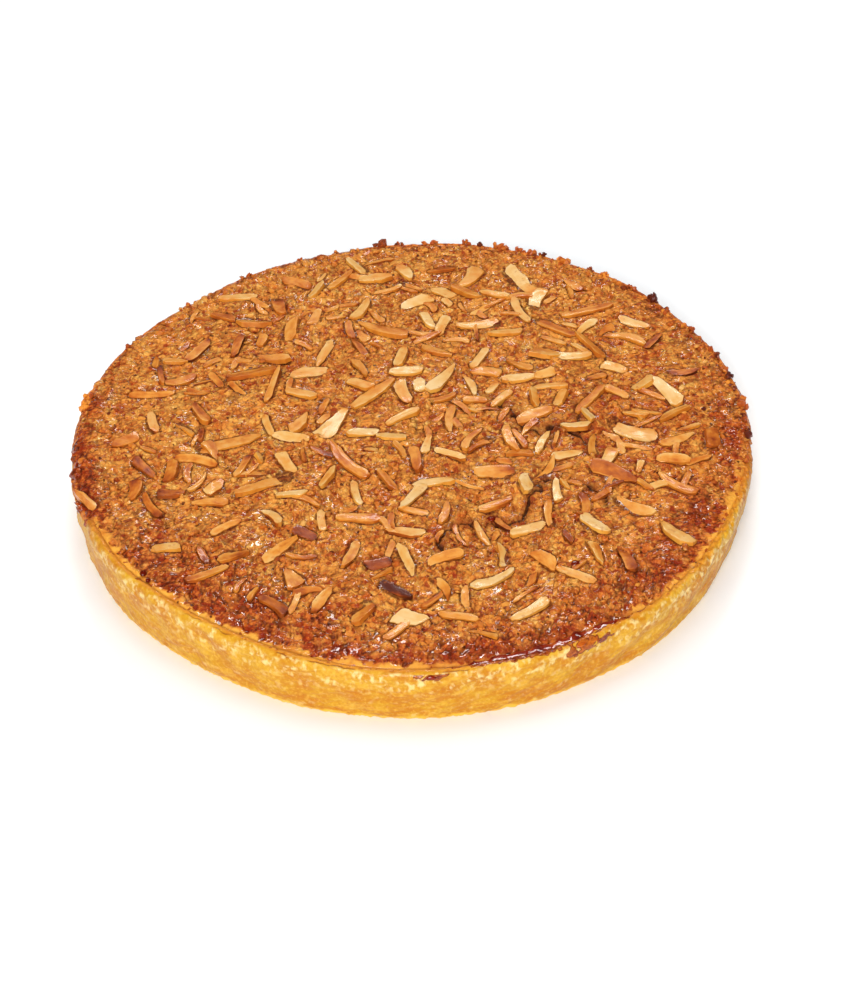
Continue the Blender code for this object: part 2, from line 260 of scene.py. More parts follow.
def sliver_places():
    """All the slivers: the conspicuous ones, then the rest from the longest to the shortest.
    Each of the rest goes to the best of a few random spots: far from the others where few lie."""
    draw = np.random.default_rng(SLIVER_SEED)
    slivers = []
    for x, y, turn, length, width, _ in SHOWN_SLIVERS:
        size = (x * MM, y * MM, math.radians(turn), length * MM, width * MM)
        slivers.append(Sliver(*size, *sliver_shape(draw)))
    rest = SLIVER_COUNT - len(slivers)
    for length in sorted(draw.triangular(*SLIVER_LENGTHS, rest), reverse=True):
        x, y = disc_spots(draw, SLIVER_REACH - length / 2, SLIVER_TRIES)
        placed = np.array([(sliver.x, sliver.y) for sliver in slivers])
        nearest = np.hypot(x[:, None] - placed[:, 0], y[:, None] - placed[:, 1]).min(axis=1)
        best = np.argmax(nearest * np.sqrt(crowding(x, y)))
        width = SLIVER_WIDTHS[0] + (SLIVER_WIDTHS[1] - SLIVER_WIDTHS[0]) * draw.uniform() ** NARROWNESS
        size = (x[best], y[best], draw.uniform(0, FULL_TURN), length, width)
        slivers.append(Sliver(*size, *sliver_shape(draw)))
    return slivers


# Thin slivers that lie low in the paste, which the solids leave out
SUNK_COUNT = 120
SUNK_SPOTS = 8 * SUNK_COUNT  # random spots, of which the free ones are taken
SUNK_SEED = 25
SUNK_LENGTHS = (5 * MM, 12 * MM)
SUNK_WIDTHS = (1.6 * MM, 3.4 * MM)
SUNK_RISE = (0.1 * MM, 0.5 * MM)
SUNK_REACH = SLIVER_REACH - 5 * MM
SUNK_CLEARANCE = 1.5 * MM


def sunk_slivers(slivers):
    """The low thin slivers: random spots clear of the others, kept as often as those lie close."""
    draw = np.random.default_rng(SUNK_SEED)
    x, y = disc_spots(draw, SUNK_REACH, SUNK_SPOTS)
    free = sliver_distance(x, y, slivers) > SUNK_CLEARANCE
    free = free & (draw.uniform(0, 1, SUNK_SPOTS) < crowding(x, y))
    sunk = []
    for k in np.flatnonzero(free)[:SUNK_COUNT]:
        turn = draw.uniform(0, FULL_TURN)
        length = draw.uniform(*SUNK_LENGTHS)
        width = draw.uniform(*SUNK_WIDTHS)
        shape = sliver_shape(draw)
        sunk.append(Sliver(x[k], y[k], turn, length, width, draw.uniform(*SUNK_RISE), *shape[1:]))
    return sunk


# The one that leans over the rim on the left, which the solids leave out
RIM_SLIVER = Sliver(-112.3 * MM, -31.1 * MM, math.radians(-53), 13.2 * MM, 3.6 * MM, 2.3 * MM, 0.05, 0.1,
                    0.02, 0.2, 0.3, 0.15, 4)


def sliver_ends(sliver):
    """How long the two cut ends of a sliver are, as shares of half its length, and how wide their tips,
    as shares of its width: short and wide on a blunt sliver, and unlike each other."""
    unlike = sliver.lean / MOST_LEAN
    ends = np.array((1 + 0.5 * unlike, 1 - 0.5 * unlike))
    return np.clip(END_CUT / sliver.blunt * ends, *END_LENGTHS), TIP_WIDTH - TIP_NARROWING * ends


def sliver_outline(sliver, along):
    """The middle line and half width of a sliver at stations along it, from -1 to 1: straight sides,
    each end narrowing in a straight line to its tip, narrower to one end, on a parabolic bow."""
    ends, tips = sliver_ends(sliver)
    end, tip = (np.where(along < 0, first, last) for first, last in (ends, tips))
    half = sliver.width / 2 * np.minimum(1, tip + (1 - tip) * (1 - np.abs(along)) / end)
    return sliver.bow * sliver.length * (1 - along**2), half * (1 + sliver.taper * along)


# ---------------------------------------------------------------- patterns


def rise_between(value, start, end):
    """0 before start and 1 after end, with the smooth step 3s^2 - 2s^3 between."""
    share = np.clip((value - start) / (end - start), 0, 1)
    return share * share * (3 - 2 * share)


def bell(value, width):
    """The bell curve exp(-(value / width)^2)."""
    return np.exp(-((value / width) ** 2))


def lengths_between(draw, span, count):
    """Random lengths between two given in mm."""
    return draw.uniform(span[0] * MM, span[1] * MM, count)


def ripples_round(angle, height, seed, count, round_lengths, up_lengths=(1, 2)):
    """Random relief round the case, of about unit strength: a sum of cosines of whole numbers of lobes
    round it and random wavelengths up it, so that it meets itself after a full turn. Lengths in mm."""
    draw = np.random.default_rng(seed)
    lobes = np.rint(FULL_TURN * RIM_RADIUS / lengths_between(draw, round_lengths, count))
    number = FULL_TURN / lengths_between(draw, up_lengths, count) * draw.choice((-1, 1), count)
    phase = draw.uniform(0, FULL_TURN, count)
    total = sum(np.cos(a * angle + b * height + c) for a, b, c in zip(lobes, number, phase))
    return total / math.sqrt(count / 2)


def ripples_flat(x, y, seed, count, lengths):
    """Random relief over a plane, of about unit strength: a sum of cosines in random directions, of
    wavelengths in mm."""
    draw = np.random.default_rng(seed)
    heading = draw.uniform(0, FULL_TURN, count)
    number = FULL_TURN / lengths_between(draw, lengths, count)
    phase = draw.uniform(0, FULL_TURN, count)
    total = sum(
        np.cos((x * math.cos(a) + y * math.sin(a)) * b + c) for a, b, c in zip(heading, number, phase)
    )
    return total / math.sqrt(count / 2)


CELL_TABLE = 256  # cells along each side of the random table, which then starts again
CELL_WANDER = 0.45  # of a cell's size, from its square's middle to its seed point
CELL_STRETCH = (0.7, 1.35)


def cells(x, y, size, seed):
    """Chunks packed over a plane: one seed point at random in each square of a size, each chunk being
    the ground nearest to its seed, in its own stretched measure. Gives each place its chunk's random
    level, the height over it of the chunk's slanted top, the gap to the next chunk, and a shade."""
    draw = np.random.default_rng(seed)
    across, along, level, lean_x, lean_y, shade = draw.uniform(-1, 1, (6, CELL_TABLE, CELL_TABLE))
    heading = draw.uniform(0, math.pi, (CELL_TABLE, CELL_TABLE))
    stretch = draw.uniform(*CELL_STRETCH, (CELL_TABLE, CELL_TABLE))
    column, row = np.floor(x / size).astype(int), np.floor(y / size).astype(int)
    first = second = np.full(x.shape, 9.0)  # farther than any seed
    found = [np.zeros(x.shape) for _ in range(3)]
    for step_x in (-1, 0, 1):
        for step_y in (-1, 0, 1):
            pick = (column + step_x) % CELL_TABLE, (row + step_y) % CELL_TABLE
            away_x = x / size - (column + step_x + 0.5 + CELL_WANDER * across[pick])
            away_y = y / size - (row + step_y + 0.5 + CELL_WANDER * along[pick])
            turned_x = away_x * np.cos(heading[pick]) + away_y * np.sin(heading[pick])
            turned_y = away_y * np.cos(heading[pick]) - away_x * np.sin(heading[pick])
            distance = np.hypot(turned_x * stretch[pick], turned_y / stretch[pick])
            nearer = distance < first
            second = np.where(nearer, first, np.minimum(second, distance))
            first = np.where(nearer, distance, first)
            slope = away_x * lean_x[pick] + away_y * lean_y[pick]
            for kept, new in zip(found, (level[pick], slope, shade[pick])):
                kept[nearer] = new[nearer]
    return Cells(found[0], found[1], second - first, found[2])


def distance_to_path(x, y, path):
    """Shortest distance from each place to a line through points given in mm."""
    corners = np.array(path) * MM
    nearest = np.full(x.shape, RIM_RADIUS)
    for start, end in zip(corners[:-1], corners[1:]):
        run = end - start
        share = np.clip(((x - start[0]) * run[0] + (y - start[1]) * run[1]) / (run @ run), 0, 1)
        nearest = np.minimum(nearest, np.hypot(x - start[0] - share * run[0], y - start[1] - share * run[1]))
    return nearest


def sliver_distance(x, y, slivers):
    """How far each place lies outside the nearest sliver's outline, measured across the sliver or past
    its end; less than nothing inside one."""
    nearest = np.full(x.shape, FAR * MM)
    for sliver in slivers:
        near = np.flatnonzero(np.hypot(x - sliver.x, y - sliver.y) < sliver.length * 0.7 + 3 * MM)
        away_x, away_y = x.flat[near] - sliver.x, y.flat[near] - sliver.y
        across = away_y * math.cos(sliver.turn) - away_x * math.sin(sliver.turn)
        start = away_x * math.cos(sliver.turn) + away_y * math.sin(sliver.turn) - sliver.shear * across
        along = start / (sliver.length / 2)
        middle, half = sliver_outline(sliver, np.clip(along, -1, 1))
        left, right = middle + half * (1 + sliver.lean), middle - half * (1 - sliver.lean)
        outside = np.maximum(across - left, right - across)
        outside = np.maximum(outside, (np.abs(along) - 1) * sliver.length / 2)
        nearest.flat[near] = np.minimum(nearest.flat[near], outside)
    return nearest


# ---------------------------------------------------------------- meshes from arrays


def quads(numbers, closed=True):
    """Faces between neighbouring rows and columns of a grid of point numbers. A closed grid's last
    column joins its first. Rows that climb, with columns to the left of them, face outwards."""
    beside = np.roll(numbers, -1, axis=-1) if closed else numbers[..., 1:]
    here = numbers if closed else numbers[..., :-1]
    corners = (here[..., :-1, :], beside[..., :-1, :], beside[..., 1:, :], here[..., 1:, :])
    return np.stack(corners, axis=-1).reshape(-1, 4)


def fan(ring, middle, last):
    """Triangles from rings of point numbers to their middles, over the last ring or under the first."""
    beside = np.roll(ring, -1, axis=-1)
    middle = np.broadcast_to(np.expand_dims(middle, -1), ring.shape)
    corners = (ring, beside, middle) if last else (beside, ring, middle)
    return np.stack(corners, axis=-1).reshape(-1, 3)


def tube(numbers, first, last):
    """Faces of rings of point numbers, closed by fans to the middles of the first and the last ring."""
    ends = fan(numbers[..., 0, :], first, False), fan(numbers[..., -1, :], last, True)
    return [quads(numbers), np.concatenate(ends)]


def linked(name, data):
    """A new object of a mesh, a light or a camera, in the scene."""
    made = bpy.data.objects.new(name, data)
    bpy.context.scene.collection.objects.link(made)
    return made


def piece(name, points, faces, finish, slot, shades, smooth=True, crease=None):
    """A mesh object of arrays: points, lists of faces of a like number of corners, and shades with one
    number for each point, or for each of its like bits. Edges sharper than the crease, in degrees,
    stay crisp."""
    mesh = bpy.data.meshes.new(name)
    corners = np.concatenate([part.ravel() for part in faces]).astype(np.int32)
    sizes = np.concatenate([np.full(len(part), part.shape[1]) for part in faces])
    mesh.vertices.add(len(points))
    mesh.vertices.foreach_set("co", points.astype(np.float32).ravel())
    mesh.loops.add(len(corners))
    mesh.loops.foreach_set("vertex_index", corners)
    mesh.polygons.add(len(sizes))
    mesh.polygons.foreach_set("loop_start", (np.cumsum(sizes) - sizes).astype(np.int32))
    mesh.update(calc_edges=True)
    mesh.validate()
    mesh.polygons.foreach_set("use_smooth", np.full(len(sizes), smooth))
    if crease is not None:
        mesh.set_sharp_from_angle(angle=math.radians(crease))
    for shade, values in shades.items():
        layer = mesh.attributes.new(shade, "FLOAT", "POINT")
        values = np.repeat(values, len(points) // len(values))
        layer.data.foreach_set("value", values.astype(np.float32))
    mesh.materials.append(finish)
    made = linked(name, mesh)
    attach(made, "root")
    return made


# ---------------------------------------------------------------- finishes


class Wire:
    """An output of a shader node. Sums, differences and products with numbers or wires add Math nodes."""

    def __init__(self, finish, socket):
        self.finish = finish
        self.socket = socket

    def math(self, operation, *terms):
        """A Math node of an operation on its terms."""
        return self.finish.node("Math", {"operation": operation}, dict(enumerate(terms)))

    def __add__(self, other):
        return self.math("ADD", self, other)

    def __radd__(self, other):
        return self.math("ADD", other, self)

    def __sub__(self, other):
        return self.math("SUBTRACT", self, other)

    def __rsub__(self, other):
        return self.math("SUBTRACT", other, self)

    def __mul__(self, other):
        return self.math("MULTIPLY", self, other)

    def __rmul__(self, other):
        return self.math("MULTIPLY", other, self)

    def between(self, start, end):
        """0 before start and 1 after end, with a smooth step between."""
        settings = {"interpolation_type": "SMOOTHSTEP"}
        return self.finish.node("MapRange", settings, {"Value": self, "From Min": start, "From Max": end})


class Finish:
    """A material being made up: its node tree, and the Principled shader at its end."""

    def __init__(self, name):
        self.material = bpy.data.materials.new(name)
        self.material.use_nodes = True
        self.tree = self.material.node_tree
        self.shader = self.tree.nodes["Principled BSDF"]
        self.place = self.node("TexCoord", output="Object")

    def node(self, kind, settings=None, inputs=None, output=0):
        """Adds a node of a kind, makes its settings, then gives its sockets values or wires."""
        made = self.tree.nodes.new("ShaderNode" + kind)
        for setting, value in (settings or {}).items():
            setattr(made, setting, value)
        for socket, value in (inputs or {}).items():
            self.feed(made.inputs[socket], value)
        return Wire(self, made.outputs[output])

    def feed(self, socket, value):
        """Gives a socket a wire or a value of its own."""
        if isinstance(value, Wire):
            self.tree.links.new(value.socket, socket)
        else:
            socket.default_value = value

    def set(self, **sockets):
        """Feeds the shader's sockets, named with _ for a space."""
        for name, value in sockets.items():
            self.feed(self.shader.inputs[name.replace("_", " ")], value)

    def shade(self, name):
        """The number that each point of the mesh carries under a name."""
        return self.node("Attribute", {"attribute_name": name}, output="Fac")

    def mix(self, share, first, second):
        """One colour turning into another by a share. Each is a wire or a screen colour."""
        first, second = (shade if isinstance(shade, Wire) else colour(*shade) for shade in (first, second))
        return self.node("Mix", {"data_type": "RGBA"}, {0: share, 6: first, 7: second}, output=2)

    def layered(self, tint, *layers):
        """A colour with others laid over it one after the other, each by its own share."""
        for share, shade in layers:
            tint = self.mix(share, tint, shade)
        return tint

    def stretched(self, *scale):
        """Places squeezed along X, Y and Z, so that a pattern on them is drawn out."""
        return self.node("Mapping", {}, {"Vector": self.place, "Scale": scale})

    def bent(self, amount, size):
        """Places shifted by up to an amount in cloudy noise of a size, to bend the sides of cells."""
        cloud = self.noise(size, output="Color")
        cloud = self.node("VectorMath", {"operation": "SUBTRACT"}, {0: cloud, 1: (0.5,) * 3})
        shift = self.node("VectorMath", {"operation": "SCALE"}, {0: cloud, "Scale": 2 * amount})
        return self.node("VectorMath", {"operation": "ADD"}, {0: self.place, 1: shift})

    def noise(self, size, detail=2.0, place=None, output="Fac"):
        """Cloudy noise whose largest lumps have about a size in metres."""
        inputs = {"Vector": place or self.place, "Scale": 1 / size, "Detail": detail}
        return self.node("TexNoise", {}, inputs, output)

    def cell_side(self, size, place):
        """How far places are from the sides of packed cells of about a size in metres."""
        inputs = {"Vector": place, "Scale": 1 / size}
        return self.node("TexVoronoi", {"feature": "DISTANCE_TO_EDGE"}, inputs, "Distance")

    def cell_number(self, size, place):
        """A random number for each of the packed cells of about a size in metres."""
        shade = self.node("TexVoronoi", {}, {"Vector": place, "Scale": 1 / size}, "Color")
        return self.node("SeparateColor", {}, {0: shade})

    def speck(self, size, share):
        """1 on a share of the cells of a size, and 0 elsewhere."""
        number = self.cell_number(size, self.bent(0.4 * size, size))
        return number.math("GREATER_THAN", number, 1 - share)

    def ramp(self, value, stops):
        """A colour read off a row of stops, each a position and a screen colour."""
        made = self.node("ValToRGB", {}, {0: value})
        row = made.socket.node.color_ramp.elements
        while len(row) < len(stops):
            row.new(1.0)
        for stop, (position, shade) in zip(row, stops):
            stop.position = position
            stop.color = colour(*shade)
        return made

    def bump(self, height, depth, strength):
        """A normal tilted by a height, of a depth in metres."""
        return self.node("Bump", {}, {"Height": height, "Distance": depth, "Strength": strength})


def colour(red, green, blue):
    """A screen colour of 0 to 255 as linear light."""
    shares = [value / 255 for value in (red, green, blue)]
    return (*[s / 12.92 if s <= 0.04045 else ((s + 0.055) / 1.055) ** 2.4 for s in shares], 1)


def crust_finish():
    """Egg-washed golden shortcrust: paler and deeper clouds drawn out along the wall, brown blotches
    low down, a yellow foot that is partly a painted warm reflection from below, floury flecks under the
    rim that are partly painted highlights, orange bubbles inside the lip, painted shade in a crack along
    it, caramel stains, and the filling's colour at the back."""
    finish = Finish("golden_shortcrust")
    clouds = finish.noise(11 * MM, 3, finish.stretched(1, 1, 1.5))
    streaks = finish.noise(4.5 * MM, 4, finish.stretched(0.6, 0.6, 1.1))
    mottle = finish.noise(1.1 * MM, 3)
    flecks = finish.noise(2 * MM, 4, finish.stretched(1.1, 1.1, 0.75))
    baked, caramel = finish.shade("baked"), finish.shade("caramel")
    # floury flecks up the wall, partly painted highlights of the egg wash
    flour_and_painted_highlight = finish.shade("flour_and_painted_highlight") * flecks.between(0.45, 0.64)
    clumps = finish.noise(1.6 * MM, 3).between(0.4, 0.6)
    thick = caramel.between(0.4, 0.9) * 0.7 + mottle.between(0.44, 0.6) * 0.3
    tint = finish.layered(
        finish.mix(clouds.between(0.36, 0.62), (194, 122, 16), (206, 150, 30)),
        (finish.shade("blotch") * streaks.between(0.3, 0.6), (190, 104, 14)),
        (streaks.between(0.5, 0.66) * 0.5, (226, 176, 58)),
        (streaks.between(0.47, 0.34) * 0.4, (190, 110, 16)),
        (mottle.between(0.5, 0.68) * 0.35, (235, 188, 78)),
        (mottle.between(0.48, 0.32) * 0.3, (184, 96, 16)),
        # bright yellow foot, partly a painted warm reflection from below
        (finish.shade("foot") * 0.9, (248, 196, 60)),
        (baked, (214, 134, 40)),
        (finish.speck(1.0 * MM, 0.1) * baked * 0.7, (150, 56, 18)),
        # cream flecks: floury, and partly painted highlights
        (flour_and_painted_highlight * 0.7, (252, 228, 158)),
        # painted shade in the crack along the lip
        (finish.shade("crack").between(0.25, 0.75) * 0.75, (132, 56, 16)),
        (finish.shade("covered"), finish.mix(clumps, (140, 58, 20), (206, 118, 42))),
        (caramel.between(0.08, 0.25), (122, 42, 12)),
        (caramel.between(0.3, 0.56), finish.mix(thick, (206, 112, 30), (112, 30, 10))),
    )
    relief = streaks + mottle * 0.5 + flour_and_painted_highlight * 0.4 + caramel * 0.8
    gloss = 0.42 + 0.2 * clouds - 0.3 * caramel
    finish.set(Base_Color=tint, Roughness=gloss, Normal=finish.bump(relief, 0.6 * MM, 0.8))
    finish.set(Coat_Weight=0.2 + 0.6 * caramel, Coat_Roughness=0.12, Coat_IOR=1.4, Specular_IOR_Level=0.15)
    return finish.material


LUMP_CELL = 3.4 * MM  # in the paste's pattern
GRAIN_CELL = 1.8 * MM


def paste_finish():
    """Baked almond paste: lumps and grains from red-brown through orange to yellow, thin dark lines
    where chunks and grains meet (dark syrup and painted shade), painted shade along its cracks, beside
    them and round the slivers, red specks of skin, redder where toasted and very dark where toasted most,
    golden along the crust, syrupy at the caramel, and glazed."""
    finish = Finish("baked_almond_paste")
    tone, toast, glaze = (finish.shade(name) for name in ("tone", "toast", "glaze"))
    band, amber, crack = (finish.shade(name) for name in ("band", "amber", "crack"))
    bent = finish.bent(1.0 * MM, 2.6 * MM)
    lump, grain = (finish.cell_number(size, bent) for size in (LUMP_CELL, GRAIN_CELL))
    lump_side, grain_side = (finish.cell_side(size, bent) for size in (LUMP_CELL, GRAIN_CELL))
    broken = finish.noise(5 * MM, 5)
    where = finish.noise(5 * MM, 1)
    fine = finish.noise(1.2 * MM, 3)
    crisp = finish.noise(0.55 * MM, 2)
    light = 0.535 + 0.3 * (tone - 0.5) + 0.2 * (lump - 0.5) + 0.3 * (grain - 0.5) + 0.36 * (broken - 0.5)
    light = light + 0.2 * (fine - 0.5) + 0.12 * (crisp - 0.5)
    baked = ((0.05, (146, 46, 14)), (0.28, (198, 98, 30)), (0.5, (220, 136, 54)),
             (0.7, (230, 158, 68)), (0.95, (240, 192, 102)))
    deep = 0.5 + 0.3 * toast.between(0.0, 0.5)
    # dark lines where chunks and grains meet: dark syrup in the crevices, and painted shade there
    seam_syrup_and_shade = (1 - finish.shade("seam").between(0.02, 0.36)) * where.between(0.64, 0.5) * deep
    gap_syrup_and_shade = (1 - lump_side.between(0.0, 0.13)) * where.between(0.38, 0.52) * deep
    pit_syrup_and_shade = (1 - grain_side.between(0.0, 0.14)) * where.between(0.7, 0.44) * fine.between(0.64, 0.48)
    # painted shade round each sliver, where it sinks into the paste
    outline = (1 - finish.shade("gap").between(0.1, 0.7)) * (0.35 + 0.65 * fine.between(0.4, 0.55))
    # painted shade in the cracks, and a wider, fainter painted shade in the depression beside them
    painted_shade_in_crack = 1 - crack.between(-0.3, 0.3)
    painted_shade_beside_crack = 1 - crack.between(0.0, 3.0)
    tint = finish.layered(
        finish.ramp(light, baked),
        (toast.between(0.0, 0.9) * 0.66, (190, 62, 14)),
        (toast.between(0.2, 0.8) * fine.between(0.56, 0.45) * 0.75, (136, 32, 8)),
        (toast.between(0.7, 1.1) * 0.45, (104, 22, 6)),
        # the crevice lines: dark syrup and painted shade
        (pit_syrup_and_shade * 0.75, (140, 44, 12)),
        (gap_syrup_and_shade * 0.7, (126, 36, 10)),
        (seam_syrup_and_shade * 0.95, (64, 16, 6)),
        (band, finish.mix(broken.between(0.35, 0.6), (206, 122, 34), (236, 170, 64))),
        (amber * 0.85, finish.mix(broken.between(0.4, 0.58), (136, 40, 12), (196, 100, 34))),
        (finish.speck(1.5 * MM, 0.09) * 0.75, (144, 40, 12)),
        (finish.speck(0.9 * MM, 0.01) * 0.85, (70, 20, 8)),
        # painted shade round the slivers, in the cracks and in a wider band beside them
        (outline * 0.8, (82, 26, 8)),
        (painted_shade_beside_crack * 0.6, (126, 56, 18)),
        (painted_shade_in_crack * 0.9, (52, 22, 12)),
    )
    relief = lump_side.between(0.0, 0.4) * 0.4 + grain_side.between(0.0, 0.4) * 0.5 - seam_syrup_and_shade * 0.4
    relief = (relief + 0.3 * crisp) * (1 - 0.7 * band) + fine * 0.3 - painted_shade_in_crack * 0.8 - outline * 0.4
    finish.set(Base_Color=tint, Normal=finish.bump(relief, 0.7 * MM, 0.85), Roughness=0.62 - 0.25 * glaze)
    wet = 0.18 + 0.8 * glaze * glaze + 0.5 * amber
    finish.set(Coat_Weight=wet, Coat_Roughness=0.1, Coat_IOR=1.4, Specular_IOR_Level=0.15)
    return finish.material


def almond_finish(name, gloss):
    """Almond flesh from cream through golden to dark brown by its tone, streaked along its length where
    it carries its own lengthwise and crosswise places, and a deeper orange on its cut sides, painted as
    light glowing through the thin flesh."""
    finish = Finish(name)
    own = finish.node("CombineXYZ", {}, {0: finish.shade("lengthwise"), 1: finish.shade("crosswise")})
    drawn = finish.node("Mapping", {}, {"Vector": own, "Scale": (0.22, 1, 1)})
    streaks = finish.noise(1.1 * MM, 2, drawn) - 0.5
    clouds = finish.noise(4 * MM, 3) - 0.5
    tone = finish.shade("tone") + 0.16 * streaks + 0.6 * clouds
    flesh = ((0.0, (228, 190, 130)), (0.22, (222, 169, 92)), (0.44, (218, 142, 54)),
             (0.64, (192, 102, 26)), (0.82, (148, 62, 16)), (1.0, (86, 32, 16)))
    # the cut sides: painted glow of light through the thin flesh
    flank_painted_glow = ((0.0, (238, 176, 72)), (0.35, (220, 140, 42)), (0.65, (180, 88, 22)), (1.0, (86, 32, 12)))
    tint = finish.mix(finish.shade("side"), finish.ramp(tone, flesh), finish.ramp(tone, flank_painted_glow))
    tint = finish.mix(finish.speck(0.8 * MM, 0.03) * 0.35, tint, (176, 92, 36))
    normal = finish.bump(streaks * 0.4 + finish.noise(1.2 * MM, 2) * 0.5, 0.25 * MM, 0.5)
    finish.set(Base_Color=tint, Roughness=0.45, Normal=normal, Specular_IOR_Level=0.3)
    finish.set(Coat_Weight=gloss, Coat_Roughness=0.1, Coat_IOR=1.42)
    return finish.material


def crumb_finish():
    """Toasted crumbs: orange to very dark red-brown by their tone, under a thin glaze."""
    finish = Finish("toasted_crumb")
    tone = finish.shade("tone") + (finish.noise(1.5 * MM, 3) - 0.5) * 0.5
    tint = finish.mix(tone.between(0.0, 0.5), (226, 140, 46), (176, 80, 26))
    tint = finish.mix(tone.between(0.5, 1.0), tint, (88, 30, 14))
    normal = finish.bump(finish.noise(0.7 * MM, 3), 0.4 * MM, 0.7)
    finish.set(Base_Color=tint, Roughness=0.45, Normal=normal)
    finish.set(Coat_Weight=0.25, Coat_Roughness=0.2, Coat_IOR=1.4, Specular_IOR_Level=0.25)
    return finish.material


def caramel_finish():
    """Boiled caramel: amber where thin and nearly black red where thick, very glossy."""
    finish = Finish("boiled_caramel")
    depth = finish.shade("tone") + (finish.noise(1.8 * MM, 3) - 0.5) * 0.9
    boiled = ((0.0, (214, 132, 40)), (0.35, (186, 88, 24)), (0.65, (138, 36, 8)), (0.95, (98, 20, 6)))
    tint = finish.ramp(depth, boiled)
    finish.set(Base_Color=tint, Roughness=0.3, Normal=finish.bump(finish.noise(2 * MM, 2), 0.6 * MM, 0.5))
    finish.set(Coat_Weight=0.7, Coat_Roughness=0.04, Coat_IOR=1.4, Specular_IOR_Level=0.05)
    return finish.material


# ---------------------------------------------------------------- the case

CASE_COLUMNS = 1248
FOOT_ROWS = 6
WALL_ROWS = 34
LIP_ROWS = 11
INSIDE_ROWS = 4
FOOT_INSET = 0.45  # of the wall's thickness
FOOT_SHARE = 0.12  # of the rim's height
LIP_START = 0.87  # of the rim's height
LIP_TOP = 0.45  # of the wall's thickness
LIP_DROP = 0.10  # of the rim's height, on the inside
INSIDE_END = 0.3  # of the rim's height, under the filling
UNDER_RINGS = (0.03, 0.4, 0.75, 0.92)  # of the foot's radius
FLOOR_RINGS = (0.97, 0.3)  # of the radius inside
COVER_START = -14  # degrees: from here round the back to COVER_END the filling covers the lip
COVER_END = 200
COVER_BLEND = 12
COVERED_LIP_DROP = 0.9 * MM
DIMPLES = 0.24 * MM  # heights of the relief
WRINKLES = 0.09 * MM
FOOT_PROUD = 0.3 * MM
FOOT_JAGGED = 0.25 * MM
LIP_JAGGED = 0.3 * MM
CRACK_INSET = 1.5 * MM
CRACK_WIDTH = 0.24 * MM
CRACK_DEPTH = 0.5 * MM
CRACK_WAVES = ((17, 0.4, 20), (41, 0.35, 90), (67, 0.35, 10))


def signed(degrees):
    """An angle brought between -180 and 180."""
    return (degrees + 180) % 360 - 180


def covered(angle):
    """1 where the filling has risen over the lip, at the back and sides, and 0 in front."""
    degrees = np.degrees(angle) % 360
    past_front = (degrees - COVER_END) % 360
    span = (COVER_START - COVER_END) % 360
    inside = np.minimum(past_front, span - past_front)
    return 1 - rise_between(inside, -COVER_BLEND, COVER_BLEND)


def case_section():
    """The case's section from its foot over the lip to the inside, as shares of the wall's thickness
    and of the rim's height: a quarter ellipse, a straight wall, and two quarter ellipses."""
    foot = np.linspace(0, math.pi / 2, FOOT_ROWS)
    wall = np.linspace(FOOT_SHARE, LIP_START, WALL_ROWS)[1:]
    lip = np.linspace(0, math.pi / 2, LIP_ROWS)[1:]
    inset = np.concatenate((
        FOOT_INSET * (1 - np.sin(foot)),
        0 * wall,
        LIP_TOP * (1 - np.cos(lip)),
        LIP_TOP + (1 - LIP_TOP) * np.sin(lip),
        np.ones(INSIDE_ROWS),
    ))
    height = np.concatenate((
        FOOT_SHARE * (1 - np.cos(foot)),
        wall,
        LIP_START + (1 - LIP_START) * np.sin(lip),
        1 - LIP_DROP * (1 - np.cos(lip)),
        np.linspace(1 - LIP_DROP, INSIDE_END, INSIDE_ROWS + 1)[1:],
    ))
    return inset, height


def leftness(angle):
    """1 at the left, falling to 0 towards the front and back as a bell curve."""
    return bell(np.degrees(angle) % 360 - 182, 30)


def lip_looseness(angle):
    """How jagged the lip is: most on the right, where it is thin and floury."""
    return 0.25 + 0.75 * bell(signed(np.degrees(angle)) + 34, 24)


def crack_strength(angle):
    """How open the crack along the lip is, round the front: it comes and goes."""
    degrees = (np.degrees(angle) + 360) % 360 - 270
    return bell(degrees + 14, 42) * rise_between(waves(angle, CRACK_WAVES), -0.3, 0.4)


def case_relief(angle, share):
    """How far the case's surface stands proud of its smooth form: wide dimples, slanting wrinkles
    and a jagged foot."""
    height = share * RIM_HEIGHT
    wall = rise_between(share, 0.03, 0.2) * (1 - rise_between(share, 0.9, 1.0))
    dimples = ripples_round(angle, height, 41, 26, (10, 36), (9, 26))
    wrinkles = ripples_round(angle, height, 42, 60, (3, 11), (1.6, 4))
    jagged = ripples_round(angle, 0, 43, 40, (1.6, 9))
    foot = bell(share, 0.05)
    return wall * (DIMPLES * dimples + WRINKLES * wrinkles) + foot * (FOOT_PROUD + FOOT_JAGGED * jagged)


# Caramel that ran over the crust: angle in degrees, distance in from its outer face and below its top
# in mm, reach round and up in mm, strength
STAINS = (
    (-65.2, 1.0, 1.6, 4.8, 2.4, 0.65),
    (-62.2, 0.1, 2.0, 3.2, 1.0, 1.0),
    (-67.4, 0.8, 2.2, 2.0, 1.5, 0.75),
    (-65.4, 2.6, 0.0, 5.0, 1.4, 0.6),
    (-89.4, 0.2, 1.7, 2.6, 0.7, 0.95),
    (-87.9, 0.4, 1.1, 2.4, 0.6, 0.8),
    (-91.0, 0.5, 1.0, 1.6, 0.6, 0.6),
    (-81.0, 2.9, 0.1, 5.0, 1.1, 0.8),
    (-76.5, 2.6, 0.0, 6.0, 1.2, 1.0),
    (-71.5, 2.4, 0.0, 6.0, 1.2, 0.95),
    (-85.5, 3.3, 0.2, 3.0, 0.8, 0.6),
    (-57.5, 3.2, 0.1, 4.0, 0.9, 0.8),
    (-53.5, 3.6, 0.2, 3.5, 0.8, 0.6),
    (-142.0, 3.2, 0.2, 2.0, 0.9, 0.6),
)


